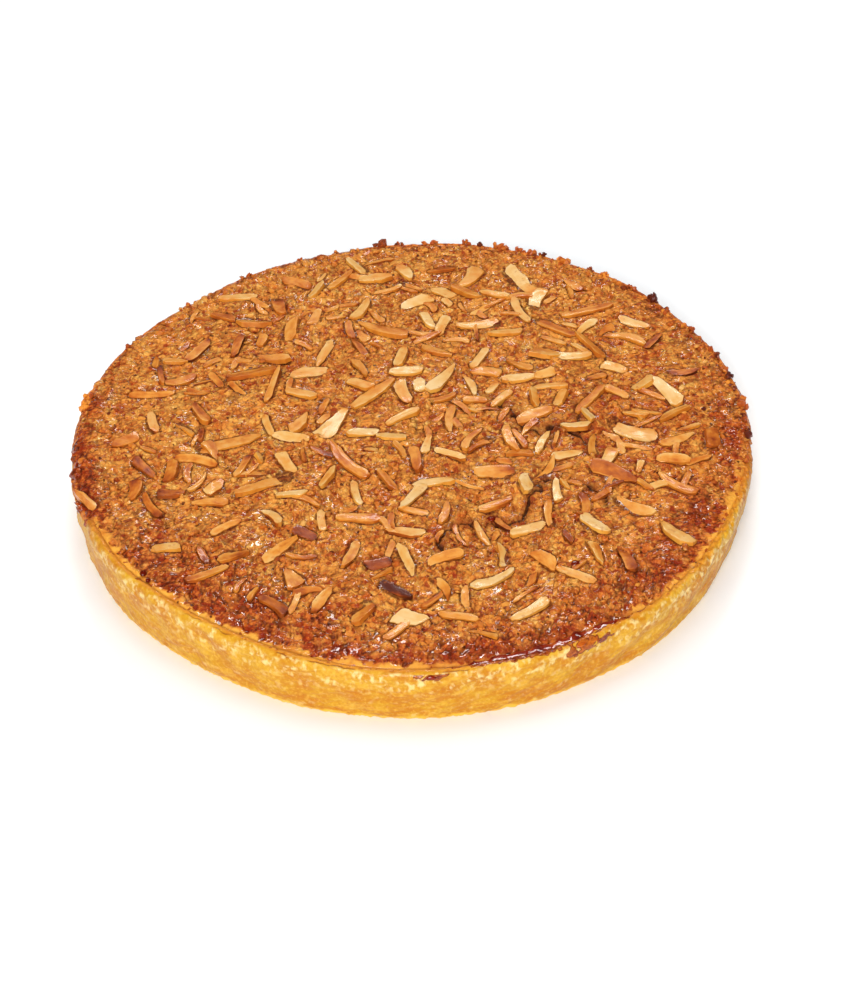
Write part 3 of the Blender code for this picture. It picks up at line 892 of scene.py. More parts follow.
def caramel_on_case(angle, inset, share):
    """How much caramel lies on the case: bells round each stain, with their edges moved by ripples."""
    degrees = np.degrees(angle)
    drop = (1 - share) * RIM_HEIGHT
    wander = ripples_round(angle, drop + inset, 47, 40, (1.6, 7), (1.6, 5))
    total = 0 * share
    for middle, deep, below, reach, up, strength in STAINS:
        away = np.radians(signed(degrees - middle)) * RIM_RADIUS / (reach * MM)
        over = np.hypot(inset - deep * MM, drop - below * MM) / (up * MM)
        total = np.maximum(total, strength * rise_between(np.hypot(away, over) + 0.25 * wander, 1.25, 0.6))
    return total


def case_point(angle, inset_share, share):
    """Point of the case's outside or lip in full relief, pushed straight out or up: the lip is jagged,
    has a crack along it, and lies lower where the filling covers it. Gives the crack's depth as well."""
    thickness = wall_thickness(angle)
    inset = inset_share * thickness
    outwards = case_relief(angle, share)
    point = wall_point(angle, inset - outwards * (1 - inset_share), share)
    wander = 0.4 * MM * ripples_round(angle, 0, 44, 20, (14, 70))
    wander = wander + 0.12 * MM * ripples_round(angle, 0, 46, 30, (2.5, 7))
    crack = bell(inset - CRACK_INSET - wander, CRACK_WIDTH) * rise_between(share, 0.9, 0.96)
    crack = crack * crack_strength(angle)
    top = rise_between(share, 0.84, 0.97)
    jagged = ripples_round(angle, inset, 45, 40, (1.4, 8), (2, 5))
    lift = top * LIP_JAGGED * lip_looseness(angle) * jagged - crack * CRACK_DEPTH
    point[..., 2] += lift - covered(angle) * COVERED_LIP_DROP * (1 + 1.4 * leftness(angle)) * top
    return point, crack


def make_case(finish):
    """The pastry case: its section carried round the tart, closed by a flat underside and a floor."""
    inset, share = (part[:, None] for part in case_section())
    angle = np.linspace(0, FULL_TURN, CASE_COLUMNS, endpoint=False)[None, :]
    angle, inset, share = np.broadcast_arrays(angle, inset, share)
    wall, crack = case_point(angle, inset, share)
    wall[0, :, 2] = 0
    under = wall[:1] * np.array(UNDER_RINGS)[:, None, None]
    floor = wall[-1:] * np.array((1.0, 1.0, 0)) * np.array(FLOOR_RINGS)[:, None, None]
    grid = np.concatenate((under, wall, floor + np.array((0, 0, BASE_THICKNESS))))
    numbers = np.arange(grid[..., 0].size).reshape(grid.shape[:2])
    points = np.concatenate((grid.reshape(-1, 3), ((0, 0, 0), (0, 0, BASE_THICKNESS))))
    shades = {}
    for name, values in case_shades(angle, inset, share, crack).items():
        shades[name] = carried_on(values, len(under), len(floor))
    faces = tube(numbers, numbers.size, numbers.size + 1)
    made = piece("crust", points, faces, finish, "pastry_case", shades)
    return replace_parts(made, "pastry_case")


def carried_on(values, under, floor):
    """A shade of the wall's rows, carried on to the rows under and inside it and to both middles."""
    rows = np.concatenate((np.repeat(values[:1], under, 0), values, np.repeat(values[-1:], floor, 0)))
    return np.append(rows.ravel(), (values[0, 0], values[-1, 0]))


def case_shades(angle, inset, share, crack):
    """Where the case is blotched, yellow at its foot (partly a painted warm reflection), floury with painted
    highlights, baked orange, cracked (shade painted in the crack), or covered.
    """
    height = share * RIM_HEIGHT
    clouds = ripples_round(angle, height, 51, 40, (6, 30), (4, 16))
    outside = 1 - rise_between(inset, 0.05, 0.3)
    low = rise_between(share, 0.75, 0.25) * outside
    streaky = ripples_round(angle, height, 52, 60, (4, 16), (1.2, 3.5))
    blotch = low * rise_between(clouds + 0.4 * streaky, 0.1, 1.4) * 0.8
    edge = ripples_round(angle, 0, 53, 30, (3, 20))
    # the yellow foot, partly a painted warm reflection from below
    foot = rise_between(share, 0.12 + 0.02 * edge, 0.06 + 0.015 * edge)
    patches = ripples_round(angle, height, 54, 50, (5, 22), (2.5, 9))
    band = rise_between(share, 0.45, 0.86) * (1 - rise_between(inset, 0.15, 0.4))
    loose = lip_looseness(angle)
    # floury flecks and painted highlights up the wall, along the lip and over the outside
    flour_and_painted_highlight = band * rise_between(patches, -1.0 - loose, 0.8)
    flour_and_painted_highlight = np.maximum(flour_and_painted_highlight, 0.4 * outside * rise_between(patches, 0.6, 1.6))
    baked = rise_between(inset, 0.25, 0.6) * (1 - 0.35 * loose)
    return {
        "blotch": blotch,
        "foot": foot,
        "flour_and_painted_highlight": flour_and_painted_highlight * (1 - covered(angle)),
        "baked": baked,
        "crack": crack,
        "caramel": caramel_on_case(angle, inset * wall_thickness(angle), share),
        "covered": covered(angle) * rise_between(share + 0.02 * edge, 0.86, 0.93),
    }


# ---------------------------------------------------------------- the filling

TOP_STEPS = 304
SIDE_RINGS = (0.2, 0.6)  # of the rim's height, below the top's border
SPREAD_UNDER = 0.6 * MM  # how far the filling reaches into the case where the lip shows
COVER_INSET = 0.2 * MM  # how far inside the case's outer face it ends where it covers the lip
RAGGED = 0.45 * MM
ROLL_WIDTH = 2.6 * MM  # of the filling's rounded border, where it covers the lip
ROLL_DROP = 2.6 * MM
ROLL_WIDER = 4.2 * MM  # by so much on the left
ROLL_SWELL = 1.1 * MM  # by so much the filling rises over the lip
BAND_WIDTH = 1.9 * MM  # of the smooth golden edge along the case
CHUNKS = (  # of the paste: size, height, depth of the crevices between them, seed
    (4.6 * MM, 0.55 * MM, 0.55 * MM, 61),
    (2.6 * MM, 0.4 * MM, 0.4 * MM, 62),
)
CHUNK_BEND = 0.6 * MM  # by so much their sides wander
SLIVER_TROUGH = 0.4 * MM  # depth of the paste under a sliver
SLIVER_BANK = 0.2 * MM  # height of the paste heaped round it
# Cracks: points in mm, then width and depth in mm
CRACKS = (
    (((30, 16), (36, 6), (39, -1), (42, -5), (47, -7), (49, -3), (53, -2), (55, -4), (61, -11)), 0.6, 1.5),
    (((59, -7), (60, -1), (60, 7), (69, 20)), 0.4, 1.0),
    (((43, -31), (49, -32), (57, -33), (61, -37), (64, -40), (65, -46)), 0.55, 1.4),
    (((43, -34), (39, -39), (38, -45), (36, -49), (30, -51), (21, -51), (13, -53), (8, -60), (8, -66)),
     0.6, 1.2),
)
# Where the paste is paler or deeper: x, y and spread in mm, and by how much
TINTED = (
    (80, -2, 24, -0.5),
    (5, 88, 42, 0.15),
    (-72, 0, 34, 0.2),
)
# Where the top is toasted: angle and spread in degrees, depth from the rim, strength
TOASTED = (
    (188, 26, 5 * MM, 0.9),
    (192, 32, 20 * MM, 0.25),
    (232, 32, 30 * MM, 0.65),
    (240, 34, 8 * MM, 0.95),
    (275, 34, 18 * MM, 0.55),
    (278, 44, 10 * MM, 1.0),
    (318, 28, 20 * MM, 0.75),
    (350, 30, 12 * MM, 0.55),
    (30, 30, 6 * MM, 0.35),
    (100, 60, 4 * MM, 0.3),
)


def rim_place(x, y):
    """Angle round the rim's middle, and how far inside the case's inner face a place lies."""
    angle = np.arctan2(y, x - RIM_SHIFT)
    inner = RIM_RADIUS + waves(angle, OUTLINE_WAVES) - wall_thickness(angle)
    return angle, inner - np.hypot(x - RIM_SHIFT, y)


def filling_inset(angle):
    """How far in from the case's outer face the filling ends: just inside the wall in front, and
    at its outer face, unevenly, where the filling covers the lip."""
    over = covered(angle)
    ragged = RAGGED * ripples_round(angle, 0, 63, 50, (2.5, 14))
    return (1 - over) * (wall_thickness(angle) - SPREAD_UNDER) + over * (COVER_INSET + ragged)


def toasted(angle, margin, x, y):
    """How dark the top is toasted, near the rim in patches."""
    degrees = np.degrees(angle)
    total = 0.0
    for middle, spread_round, depth, strength in TOASTED:
        away = signed(degrees - middle)
        total = np.maximum(total, strength * bell(away, spread_round) * bell(np.maximum(margin, 0), depth))
    patches = ripples_flat(x, y, 64, 30, (6, 26))
    return np.clip(total * (1 + 0.3 * patches) + 0.1 * rise_between(patches, 0.8, 2.0), 0, 1)


def paste(x, y, slivers):
    """Height and looks of the filling's top: the smooth top, plus chunks of two sizes with crevices
    between them, a trough round each sliver, cracks, and the roll over the back lip, paler or deeper
    in some places. Chunk edges, slivers and cracks are passed on as distances in mm, from which the
    finish paints fine dark lines: dark syrup and painted shade where chunks meet, painted shade round
    the slivers and in the cracks."""
    angle, margin = rim_place(x, y)
    over = covered(angle)
    wander = 0.8 * MM * ripples_round(angle, 0, 74, 40, (3, 24))
    band = (1 - over) * rise_between(margin + wander, BAND_WIDTH, BAND_WIDTH * 0.3)
    rough = (1 - 0.8 * band) * (0.75 + 0.25 * ripples_flat(x, y, 65, 24, (9, 30)))
    bent_x = x + CHUNK_BEND * ripples_flat(x, y, 66, 20, (3, 9))
    bent_y = y + CHUNK_BEND * ripples_flat(x, y, 67, 20, (3, 9))
    smooth = top_height(x, y)
    height = smooth
    tone = 0.5
    seam = FAR + 0 * x
    for size, rise, depth, seed in CHUNKS:
        chunk = cells(bent_x, bent_y, size, seed)
        height = height + rough * rise * (0.5 * chunk.level + 0.9 * chunk.slope)
        height = height - rough * depth * (1 - rise_between(chunk.gap, 0.02, 0.3))
        tone = tone + 0.2 * chunk.shade
        seam = np.minimum(seam, chunk.gap * size / (2 * MM) + FAR * band)
    for middle_x, middle_y, reach, change in TINTED:
        tone = tone + change * bell(np.hypot(x - middle_x * MM, y - middle_y * MM), reach * MM)
    gap = sliver_distance(x, y, slivers)
    under = rise_between(gap, 0.5 * MM, -0.3 * MM)
    height = height + under * (smooth - SLIVER_TROUGH - height)
    height = height + SLIVER_BANK * bell(gap - 1.1 * MM, 0.7 * MM)
    crack = FAR + 0 * x
    for path, width, depth in CRACKS:
        away = distance_to_path(bent_x, bent_y, path)
        height = height - depth * MM * bell(away, width * MM)
        crack = np.minimum(crack, away / MM - width)
    spare = margin + wall_thickness(angle) - filling_inset(angle)
    width = ROLL_WIDTH + ROLL_WIDER * leftness(angle)
    curl = np.clip(1 - spare / width, 0, 1)
    height = height + over * bell(np.maximum(spare - width, 0), 5 * MM) * ROLL_SWELL
    height = height - over * ROLL_DROP * (1 - np.sqrt(1 - curl**2))
    toast = toasted(angle, margin, x, y) * (1 - band)
    amber = bell(np.degrees(angle) + 74, 17) * rise_between(margin + wander, 5.5 * MM, 1.5 * MM)
    shine = ripples_flat(x, y, 69, 24, (8, 30))
    glaze = np.clip(0.35 + 0.25 * shine + 0.6 * toast + 0.2 * band, 0, 1)
    return Paste(height, np.clip(tone, 0, 1), seam, gap / MM, crack, toast, glaze, band, amber)


def disc_grid(steps):
    """A square grid pressed into a disc: the larger of |a| and |b| is the distance from the middle, and
    the smaller turns the point by up to an eighth of a turn."""
    line = np.linspace(-1, 1, steps + 1)
    a, b = np.meshgrid(line, line)
    wide = np.abs(a) >= np.abs(b)
    longer, shorter = np.where(wide, a, b), np.where(wide, b, a)
    turn = math.pi / 4 * shorter / np.where(longer == 0, 1, longer)
    turn = np.where(wide, turn, math.pi / 2 - turn)
    return np.abs(longer), np.arctan2(longer * np.sin(turn), longer * np.cos(turn))


def border(numbers):
    """The outermost point numbers of a square grid, anticlockwise."""
    return np.concatenate((numbers[0, :-1], numbers[:-1, -1], numbers[-1, :0:-1], numbers[:0:-1, 0]))


def make_filling(finish, slivers):
    """The filling: its top on a grid pressed into a disc, and a side and a flat bottom in the case."""
    share, angle = disc_grid(TOP_STEPS)
    edge = wall_point(angle, filling_inset(angle), 1.0)
    x, y = edge[..., 0] * share, edge[..., 1] * share
    top = paste(x, y, slivers)
    points = np.stack((x, y, top.height), axis=-1).reshape(-1, 3)
    numbers = np.arange(points.shape[0]).reshape(share.shape)
    rim = border(numbers)
    around = angle.ravel()[rim]
    foot, low = (wall_point(around, wall_thickness(around) + GAP, up) for up in SIDE_RINGS)
    rings = len(points) + np.arange(2 * len(rim)).reshape(2, len(rim))
    middle = len(points) + 2 * len(rim)
    points = np.concatenate((points, foot, low, ((0, 0, RIM_HEIGHT * SIDE_RINGS[0]),)))
    side = np.concatenate((rings, rim[None]))
    faces = [np.concatenate((quads(numbers, closed=False), quads(side))), fan(rings[0], middle, False)]
    shades = {}
    for name in Paste._fields[1:]:
        values = np.broadcast_to(getattr(top, name), share.shape).ravel()
        shades[name] = np.concatenate((values, values[rim], values[rim], (0.5,)))
    made = piece("filling", points, faces, finish, "almond_filling", shades)
    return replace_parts(made, "almond_filling")


# ---------------------------------------------------------------- slivered almonds

MIDDLE_STATIONS = 7  # along a sliver, between its cut ends
# Half of a sliver's section, from its root up to its crest: (share of half the width, share of the rise)
SLIVER_SECTION = ((1.0, None), (1.0, 0.0), (1.0, 0.7), (0.99, 0.92), (0.9, 1.0), (0.45, 1.02), (0.0, 1.03))
EDGES = np.array([1.0 if share and share > 0.9 and width > 0.9 else 0.0 for width, share in SLIVER_SECTION])
EDGES = np.concatenate((EDGES, EDGES[-2::-1]))  # 1 at the upper edges of the whole section
SLIMMER = 0.78  # a sliver above the paste, against its solid, which is widest at its root
LOWER = 0.62  # its rise, against its solid's
QUIET_LOWER = 0.45  # and where few slivers lie, so that most of those hardly show
QUIET_DARKER = 0.22
QUIET_CROWDING = (0.72, 0.42)  # where they start to be quiet, and where all but the shown ones are
REST_TONES = (0.42, 0.22)  # middle and spread
SUNK_TONES = (0.6, 0.14)
RIM_SLIVER_TONE = 0.6
# upper edges paler by a painted highlight, except the last choice, which is darker browning
EDGE_HIGHLIGHTS_AND_BROWNING = (-0.3, -0.22, -0.14, 0.1)  # paler or darker upper edges
SKINNED = 0.22  # share of the slivers with brown skin along one side
SKIN_TONE = 0.5
CREASE = 32  # degrees, above which a sliver's edges stay crisp
LOOKS_SEED = 71
CHIPS, CREST_WAVES, SLANT = 0.04, 0.05, 0.3  # how much a sliver's sides, its crest and its top vary
DENTS = 0.06 * MM
# How much a sliver's tone varies: along it, across it, towards its ends, in its middle, and all over
ALONG_TONE, ACROSS_TONE, END_TONE, CORE_TONE, GRAIN_TONE = 0.12, 0.1, 0.12, 0.18, 0.04


def sliver_grid(sliver, draw):
    """A sliver as its section carried along it: the section is a low wedge with cut edges, as wide as
    the outline at each station with small chips, its crest wavy and lower towards both ends."""
    start, end = sliver_ends(sliver)[0]
    straight = np.linspace(start - 1, 1 - end, MIDDLE_STATIONS)
    along = np.concatenate(((-1, start / 2 - 1), straight, (1 - end / 2, 1)))
    middle, half = sliver_outline(sliver, along)
    half = half * SLIMMER
    chips = 1 + draw.normal(0, CHIPS, (2, len(along)))
    crest = sliver.rise * (1 - 0.15 * np.abs(along) ** 4) * (1 + draw.normal(0, CREST_WAVES, len(along)))
    slant = draw.normal(0, SLANT)
    section = list(SLIVER_SECTION) + [(-width, height) for width, height in SLIVER_SECTION[-2::-1]]
    across, height, own = [], [], []
    for width, share in section:
        side = half * ((1 + sliver.lean) * chips[0] if width > 0 else (1 - sliver.lean) * chips[1])
        across.append(middle + width * side + (sliver.lean * half if width == 0 else 0))
        upper = 0 * along if share is None else share * crest * (1 + slant * width)
        height.append(upper - (SLIVER_ROOT if share is None else 0))
        own.append(width * half + upper * np.sign(width))
    across, height, own = (np.array(rows).T for rows in (across, height, own))
    height[:, 3:-3] += draw.normal(0, DENTS, height[:, 3:-3].shape)
    start = along[:, None] * sliver.length / 2 + sliver.shear * across
    points = np.stack((start, across, height), axis=-1)
    sides = np.array([0.0 if share is None else share for _, share in section])
    return points, np.broadcast_to(1 - rise_between(sides, 0.6, 0.97), height.shape), own, along[:, None]


def make_slivers(finish, slivers):
    """The slivered almonds, each turned, tilted and laid where the filling's smooth top is, and each
    baked to its own tone, which differs at its ends and on a side with skin; its upper edges are mostly
    paler by a painted highlight, now and then darker and browned."""
    draw = np.random.default_rng(LOOKS_SEED)
    shown = [row[5] for row in SHOWN_SLIVERS]
    rest = np.clip(draw.normal(*REST_TONES, SLIVER_COUNT - len(shown)), 0.05, 1)
    sunk = draw.normal(*SUNK_TONES, len(slivers) - SLIVER_COUNT - 1)
    tones = np.concatenate((shown, rest, (RIM_SLIVER_TONE,), sunk))
    grids, looks = [], []
    quiet = rise_between(crowding(*np.array([sliver[:2] for sliver in slivers]).T), *QUIET_CROWDING)
    quiet[: len(shown)] = 0
    quiet[SLIVER_COUNT:] = 0
    for sliver, tone, hidden in zip(slivers, tones + QUIET_DARKER * quiet, quiet):
        low = sliver._replace(rise=sliver.rise * (LOWER + (QUIET_LOWER - LOWER) * hidden))
        points, side, own, along = sliver_grid(low, draw)
        pose = np.array(Euler((sliver.roll, sliver.tilt, sliver.turn)).to_matrix())
        place = np.array((sliver.x, sliver.y, float(top_height(sliver.x, sliver.y))))
        grids.append(points @ pose.T + place)
        slope = draw.normal(0, ALONG_TONE) * along + draw.normal(0, ACROSS_TONE) * own / sliver.width
        # painted highlight along the upper edges, or browning there, and a tone towards the ends
        rim = draw.choice(EDGE_HIGHLIGHTS_AND_BROWNING) * EDGES + draw.normal(0, END_TONE) * np.abs(along) ** 6
        core = draw.uniform(0, CORE_TONE) * (1 - (own / (sliver.width / 2)) ** 2).clip(0, 1)
        skin = SKIN_TONE * side * (own > 0) * (draw.uniform() < SKINNED)
        shade = tone + slope + rim + core + skin + draw.normal(0, GRAIN_TONE, side.shape)
        lengthwise = along * sliver.length / 2 + 0 * own + draw.uniform(0, 1)
        looks.append((shade / DARKEST, side, lengthwise, own))
    grids, looks = np.array(grids), np.array(looks)
    count, rows, columns, _ = grids.shape
    numbers = np.arange(count * rows * columns).reshape(count, rows, columns)
    middles = np.concatenate((grids[:, 0].mean(axis=1), grids[:, -1].mean(axis=1)))
    first = numbers.size + np.arange(count)
    faces = tube(numbers, first, first + count)
    points = np.concatenate((grids.reshape(-1, 3), middles))
    shades = {}
    for name, values in zip(("tone", "side", "lengthwise", "crosswise"), np.moveaxis(looks, 1, 0)):
        ends = values[:, 0].mean(axis=1), values[:, -1].mean(axis=1)
        shades[name] = np.concatenate((values.ravel(), *ends))
    piece("slivered_almonds", points, faces, finish, "almond_filling", shades, crease=CREASE)


# ---------------------------------------------------------------- small scattered pieces

GOLDEN = (1 + math.sqrt(5)) / 2
# A twenty-sided solid of unit radius: the corners of three crossed golden rectangles
RECTANGLE = np.array([(0, a, b * GOLDEN) for a in (-1, 1) for b in (-1, 1)]) / math.hypot(1, GOLDEN)
CHUNK_CORNERS = np.concatenate([np.roll(RECTANGLE, k, axis=1) for k in range(3)])


def outer_faces(corners):
    """Triangles of a convex solid with its middle at the origin: three corners make a face where no
    other corner lies beyond their plane."""
    trios = np.array(list(combinations(range(len(corners)), 3)))
    one, two, three = (corners[trios[:, k]] for k in range(3))
    normal = np.cross(two - one, three - one)
    outwards = np.einsum("ij,ij->i", normal, one)
    trios[outwards < 0] = trios[outwards < 0][:, ::-1]
    normal[outwards < 0] *= -1
    beyond = normal @ corners.T - np.abs(outwards)[:, None]
    return trios[(beyond.max(axis=1) < 1e-9) & (np.abs(outwards) > 1e-9)]


CHUNK_FACES = outer_faces(CHUNK_CORNERS)


Bits = namedtuple("Bits", "name spots seed smallest largest power least most sink clear inside tones")
# Bits strewn over the filling. Their size lies between the smallest and the largest, by a power more
# often a small one, and is stretched by least to most along, across and up. They're sunk by shares of
# their height, clear of slivers in mm and inside the rim, and their tone has a middle and a spread.
NIBS = Bits("almond_nibs", 1600, 81, 1.2 * MM, 3.4 * MM, 2, (0.8, 0.45, 0.3), (1.3, 0.9, 0.5),
            (-0.5, 0.3), 0.5, 0.6 * MM, (0.52, 0.12))
SKINS = NIBS._replace(name="almond_skins", spots=500, seed=83, smallest=0.8 * MM, largest=2.2 * MM,
                      tones=(0.7, 0.2))
LUMPS = Bits("paste_lumps", 3000, 82, 1.8 * MM, 4.8 * MM, 1.6, (0.8, 0.55, 0.24), (1.3, 0.95, 0.24 * 1.6),
             (-0.65, 0.15), 0.4, 0.4 * MM, (0.1, 0.2))
GRAINS = LUMPS._replace(name="paste_grains", spots=2200, seed=84, smallest=0.9 * MM, largest=1.8 * MM,
                        least=(0.8, 0.55, 0.32), most=(1.3, 0.95, 0.32 * 1.6))
TUMBLE = 0.3  # usual roll of those bits, in radians
JITTER = 0.2  # of their radius, by which each corner is pushed in or out
NIB_TOASTED = 0.35  # how much darker nibs are where the paste is toasted
# the share of the cut sides' painted glow that the nibs take
NIB_SIDE = 0.4  # how much they look like a sliver's cut side
SEAM_CLEARANCE = 0.12  # mm
CRACK_CLEARANCE = 0.9  # mm


def scattered(places, sizes, draw, tumble, jitter):
    """Copies of the twenty-sided solid: each corner is pushed in or out at random, then the solid is
    stretched to its three half sizes, rolled a little, turned at random, and moved to its place."""
    count = len(places)
    roll = draw.normal(0, tumble, count)[:, None]
    turn = draw.uniform(0, FULL_TURN, count)[:, None]
    shaken = CHUNK_CORNERS[None] * (1 + draw.uniform(-jitter, jitter, (count, len(CHUNK_CORNERS), 1)))
    x, y, z = np.moveaxis(shaken * sizes[:, None, :], -1, 0)
    y, z = y * np.cos(roll) - z * np.sin(roll), y * np.sin(roll) + z * np.cos(roll)
    x, y = x * np.cos(turn) - y * np.sin(turn), x * np.sin(turn) + y * np.cos(turn)
    points = np.stack((x, y, z), axis=-1) + places[:, None, :]
    offsets = (np.arange(count) * len(CHUNK_CORNERS))[:, None, None]
    return points.reshape(-1, 3), [(CHUNK_FACES[None] + offsets).reshape(-1, 3)]


def bit_sizes(count, smallest, largest, power, least, most, draw):
    """Three half sizes for each bit: its size, by a power more often a small one, times random shares."""
    size = smallest + (largest - smallest) * draw.uniform(0, 1, count) ** power
    return size[:, None] * draw.uniform(least, most, (count, 3)) / 2


def strewn(bits, slivers, draw):
    """Bits at random places on the filling's top, clear of slivers, seams and cracks: their points and
    faces, their places, and the top's looks there."""
    x, y = disc_spots(draw, RIM_RADIUS + 2 * MM, bits.spots)
    x = RIM_SHIFT + x
    around, margin = rim_place(x, y)
    spare = margin + (wall_thickness(around) - filling_inset(around))
    least = bits.inside + (1 - covered(around)) * BAND_WIDTH * draw.uniform(0.4, 1.2, bits.spots)
    kept = spare > least
    x, y = x[kept], y[kept]
    top = paste(x, y, slivers)
    kept = (top.gap > bits.clear) & (top.seam > SEAM_CLEARANCE) & (top.crack > CRACK_CLEARANCE)
    looks = Paste(*(np.broadcast_to(values, x.shape)[kept] for values in top))
    places = np.stack((x[kept], y[kept], looks.height), axis=-1)
    sizes = bit_sizes(len(places), bits.smallest, bits.largest, bits.power, bits.least, bits.most, draw)
    places[:, 2] += draw.uniform(*bits.sink, len(places)) * sizes[:, 2]
    return scattered(places, sizes, draw, TUMBLE, JITTER), places, looks


def make_nibs(finish, slivers, bits):
    """Chopped almonds: angular bits lying in the paste, half sunk, each of its own size and tone."""
    draw = np.random.default_rng(bits.seed)
    solids, places, looks = strewn(bits, slivers, draw)
    tone = np.clip(draw.normal(*bits.tones, len(places)) + NIB_TOASTED * looks.toast, 0, 1)
    along, across, _ = places.T
    shades = {"tone": tone, "side": NIB_SIDE + 0 * tone, "lengthwise": along, "crosswise": across}
    piece(bits.name, *solids, finish, "almond_filling", shades, smooth=False)


def make_lumps(finish, slivers, bits):
    """Lumps of the paste: twenty-sided blobs sunk in its top, in its own colours but off its seams."""
    draw = np.random.default_rng(bits.seed)
    solids, places, looks = strewn(bits, slivers, draw)
    tone = np.clip(looks.tone + draw.normal(*bits.tones, len(places)), 0, 1)
    looks = looks._replace(tone=tone, seam=FAR + 0 * looks.seam)
    shades = {shade: getattr(looks, shade) for shade in Paste._fields[1:]}
    piece(bits.name, *solids, finish, "almond_filling", shades)


# ---------------------------------------------------------------- along the rim

CRUMB_BITS = 9  # small pieces in each of the large crumbs
BIT_SPREAD = 0.42  # of the crumb's radius, from its middle
BIT_REACH = 0.8  # at most
CRUMB_SHAPE = (CRUMB_DEPTH, 1.3, 0.6)  # in and out, round the tart and up
BIT_SIZES = (0.3, 0.72)  # of the crumb's radius
DAB_SEED = 91
FINE_CRUMBS = 160
FINE_SEED = 92
FINE_RUN = (-16, 35, 104)  # degrees: from, thickest at, to
FINE_INSET = (0.7 * MM, 4.0 * MM)  # from the case's outer face
FINE_SIZES = (0.9 * MM, 2.9 * MM)


def make_rim_crumbs(finish):
    """The large crumbs at the places the solids have them, and the filling that boiled over on the left:
    each a cluster of angular bits, strewn about its middle by a bell curve of its own size."""
    draw = np.random.default_rng(CRUMB_SEED)
    dabs = np.random.default_rng(DAB_SEED)
    lumps = []
    for start, end, count, small, large in CRUMB_RUNS:
        for k in range(count):
            angle = math.radians(start + (end - start) * (k + draw.uniform(0, 1)) / count)
            radius = small + (large - small) * draw.uniform() ** 2
            reach = radius * CRUMB_DEPTH * (1 + CRUMB_ROUGHNESS)
            place = wall_point(angle, wall_thickness(angle) - CRUMB_CLEARANCE - reach, 1.0)
            place[2] -= draw.uniform(*CRUMB_SINK) * radius
            draw.uniform(size=2 * CRUMB_CORNERS)  # keeps in step with the solids' draws
            lumps.append((*place, angle, radius, dabs.uniform(0.15, 1.0)))
    for degrees, outward, below, radius in SPILL:
        place = wall_point(math.radians(degrees), -outward, 1.0)
        lumps.append((*(place - (0, 0, below)), math.radians(degrees), radius, 0.1))
    lumps = np.repeat(np.array(lumps), CRUMB_BITS, axis=0)
    places, angle, radius, tone = lumps[:, :3], lumps[:, 3], lumps[:, 4], lumps[:, 5]
    count = len(lumps)
    away = dabs.normal(0, BIT_SPREAD, (count, 3)).clip(-BIT_REACH, BIT_REACH)
    away = away * radius[:, None] * CRUMB_SHAPE
    x = away[:, 0] * np.cos(angle) - away[:, 1] * np.sin(angle)
    y = away[:, 0] * np.sin(angle) + away[:, 1] * np.cos(angle)
    places = places + np.stack((x, y, away[:, 2]), axis=-1)
    sizes = radius[:, None] * dabs.uniform(*BIT_SIZES, (count, 3))
    points, faces = scattered(places, sizes, dabs, tumble=0.7, jitter=0.3)
    shades = {"tone": (tone + dabs.normal(0, 0.12, count)).clip(0, 1)}
    piece("rim_crumbs", points, faces, finish, "pastry_case", shades, smooth=False)


def make_fine_crumbs(finish, slivers):
    """Small dark and orange bits lying on the filling's border, which make the back and right ragged."""
    draw = np.random.default_rng(FINE_SEED)
    angle = np.radians(draw.triangular(*FINE_RUN, FINE_CRUMBS))
    places = wall_point(angle, draw.uniform(*FINE_INSET, FINE_CRUMBS), 1.0)
    places[:, 2] = paste(places[:, 0], places[:, 1], slivers).height
    sizes = bit_sizes(FINE_CRUMBS, *FINE_SIZES, 2, (0.6, 0.5, 0.5), (1.2, 0.9, 0.9), draw)
    points, faces = scattered(places, sizes, draw, tumble=0.5, jitter=0.25)
    shades = {"tone": draw.uniform(0.0, 0.9, FINE_CRUMBS)}
    piece("fine_crumbs", points, faces, finish, "almond_filling", shades, smooth=False)


# ---------------------------------------------------------------- caramel

# Blobs of boiled caramel: angle in degrees, distance in from the rim's outer face and below its top,
# half sizes across, along and up, all in mm, and how dark each is.
BLOBS = (
    (-142.7, 5.4, 0.5, 1.2, 1.1, 1.0, 1.0),
    (-140.8, 4.4, 0.6, 0.9, 0.8, 0.8, 0.95),
    (-66.0, 1.5, 0.9, 1.5, 2.2, 0.7, 0.35),
    (-63.9, 0.9, 1.5, 0.9, 2.0, 0.8, 0.3),
    (-89.4, 0.45, 1.6, 0.6, 1.6, 0.8, 0.8),
)
BLOB_ROWS = 9
BLOB_COLUMNS = 14
BLOB_ROUGHNESS = 0.16
BLOB_SEED = 102
BEADS = ((51.3, -73.7), (25.5, -48.4))  # mm
BEAD_SIZES = (1.5, 1.2, 0.5)  # mm
BEAD_TONE = 0.9
TROUGH_START, TROUGH_END = -84, -57  # degrees
TROUGH_STATIONS = 90
TROUGH_COLUMNS = 16
TROUGH_HALF_WIDTH = 2.1 * MM
TROUGH_INSET = 3.5 * MM


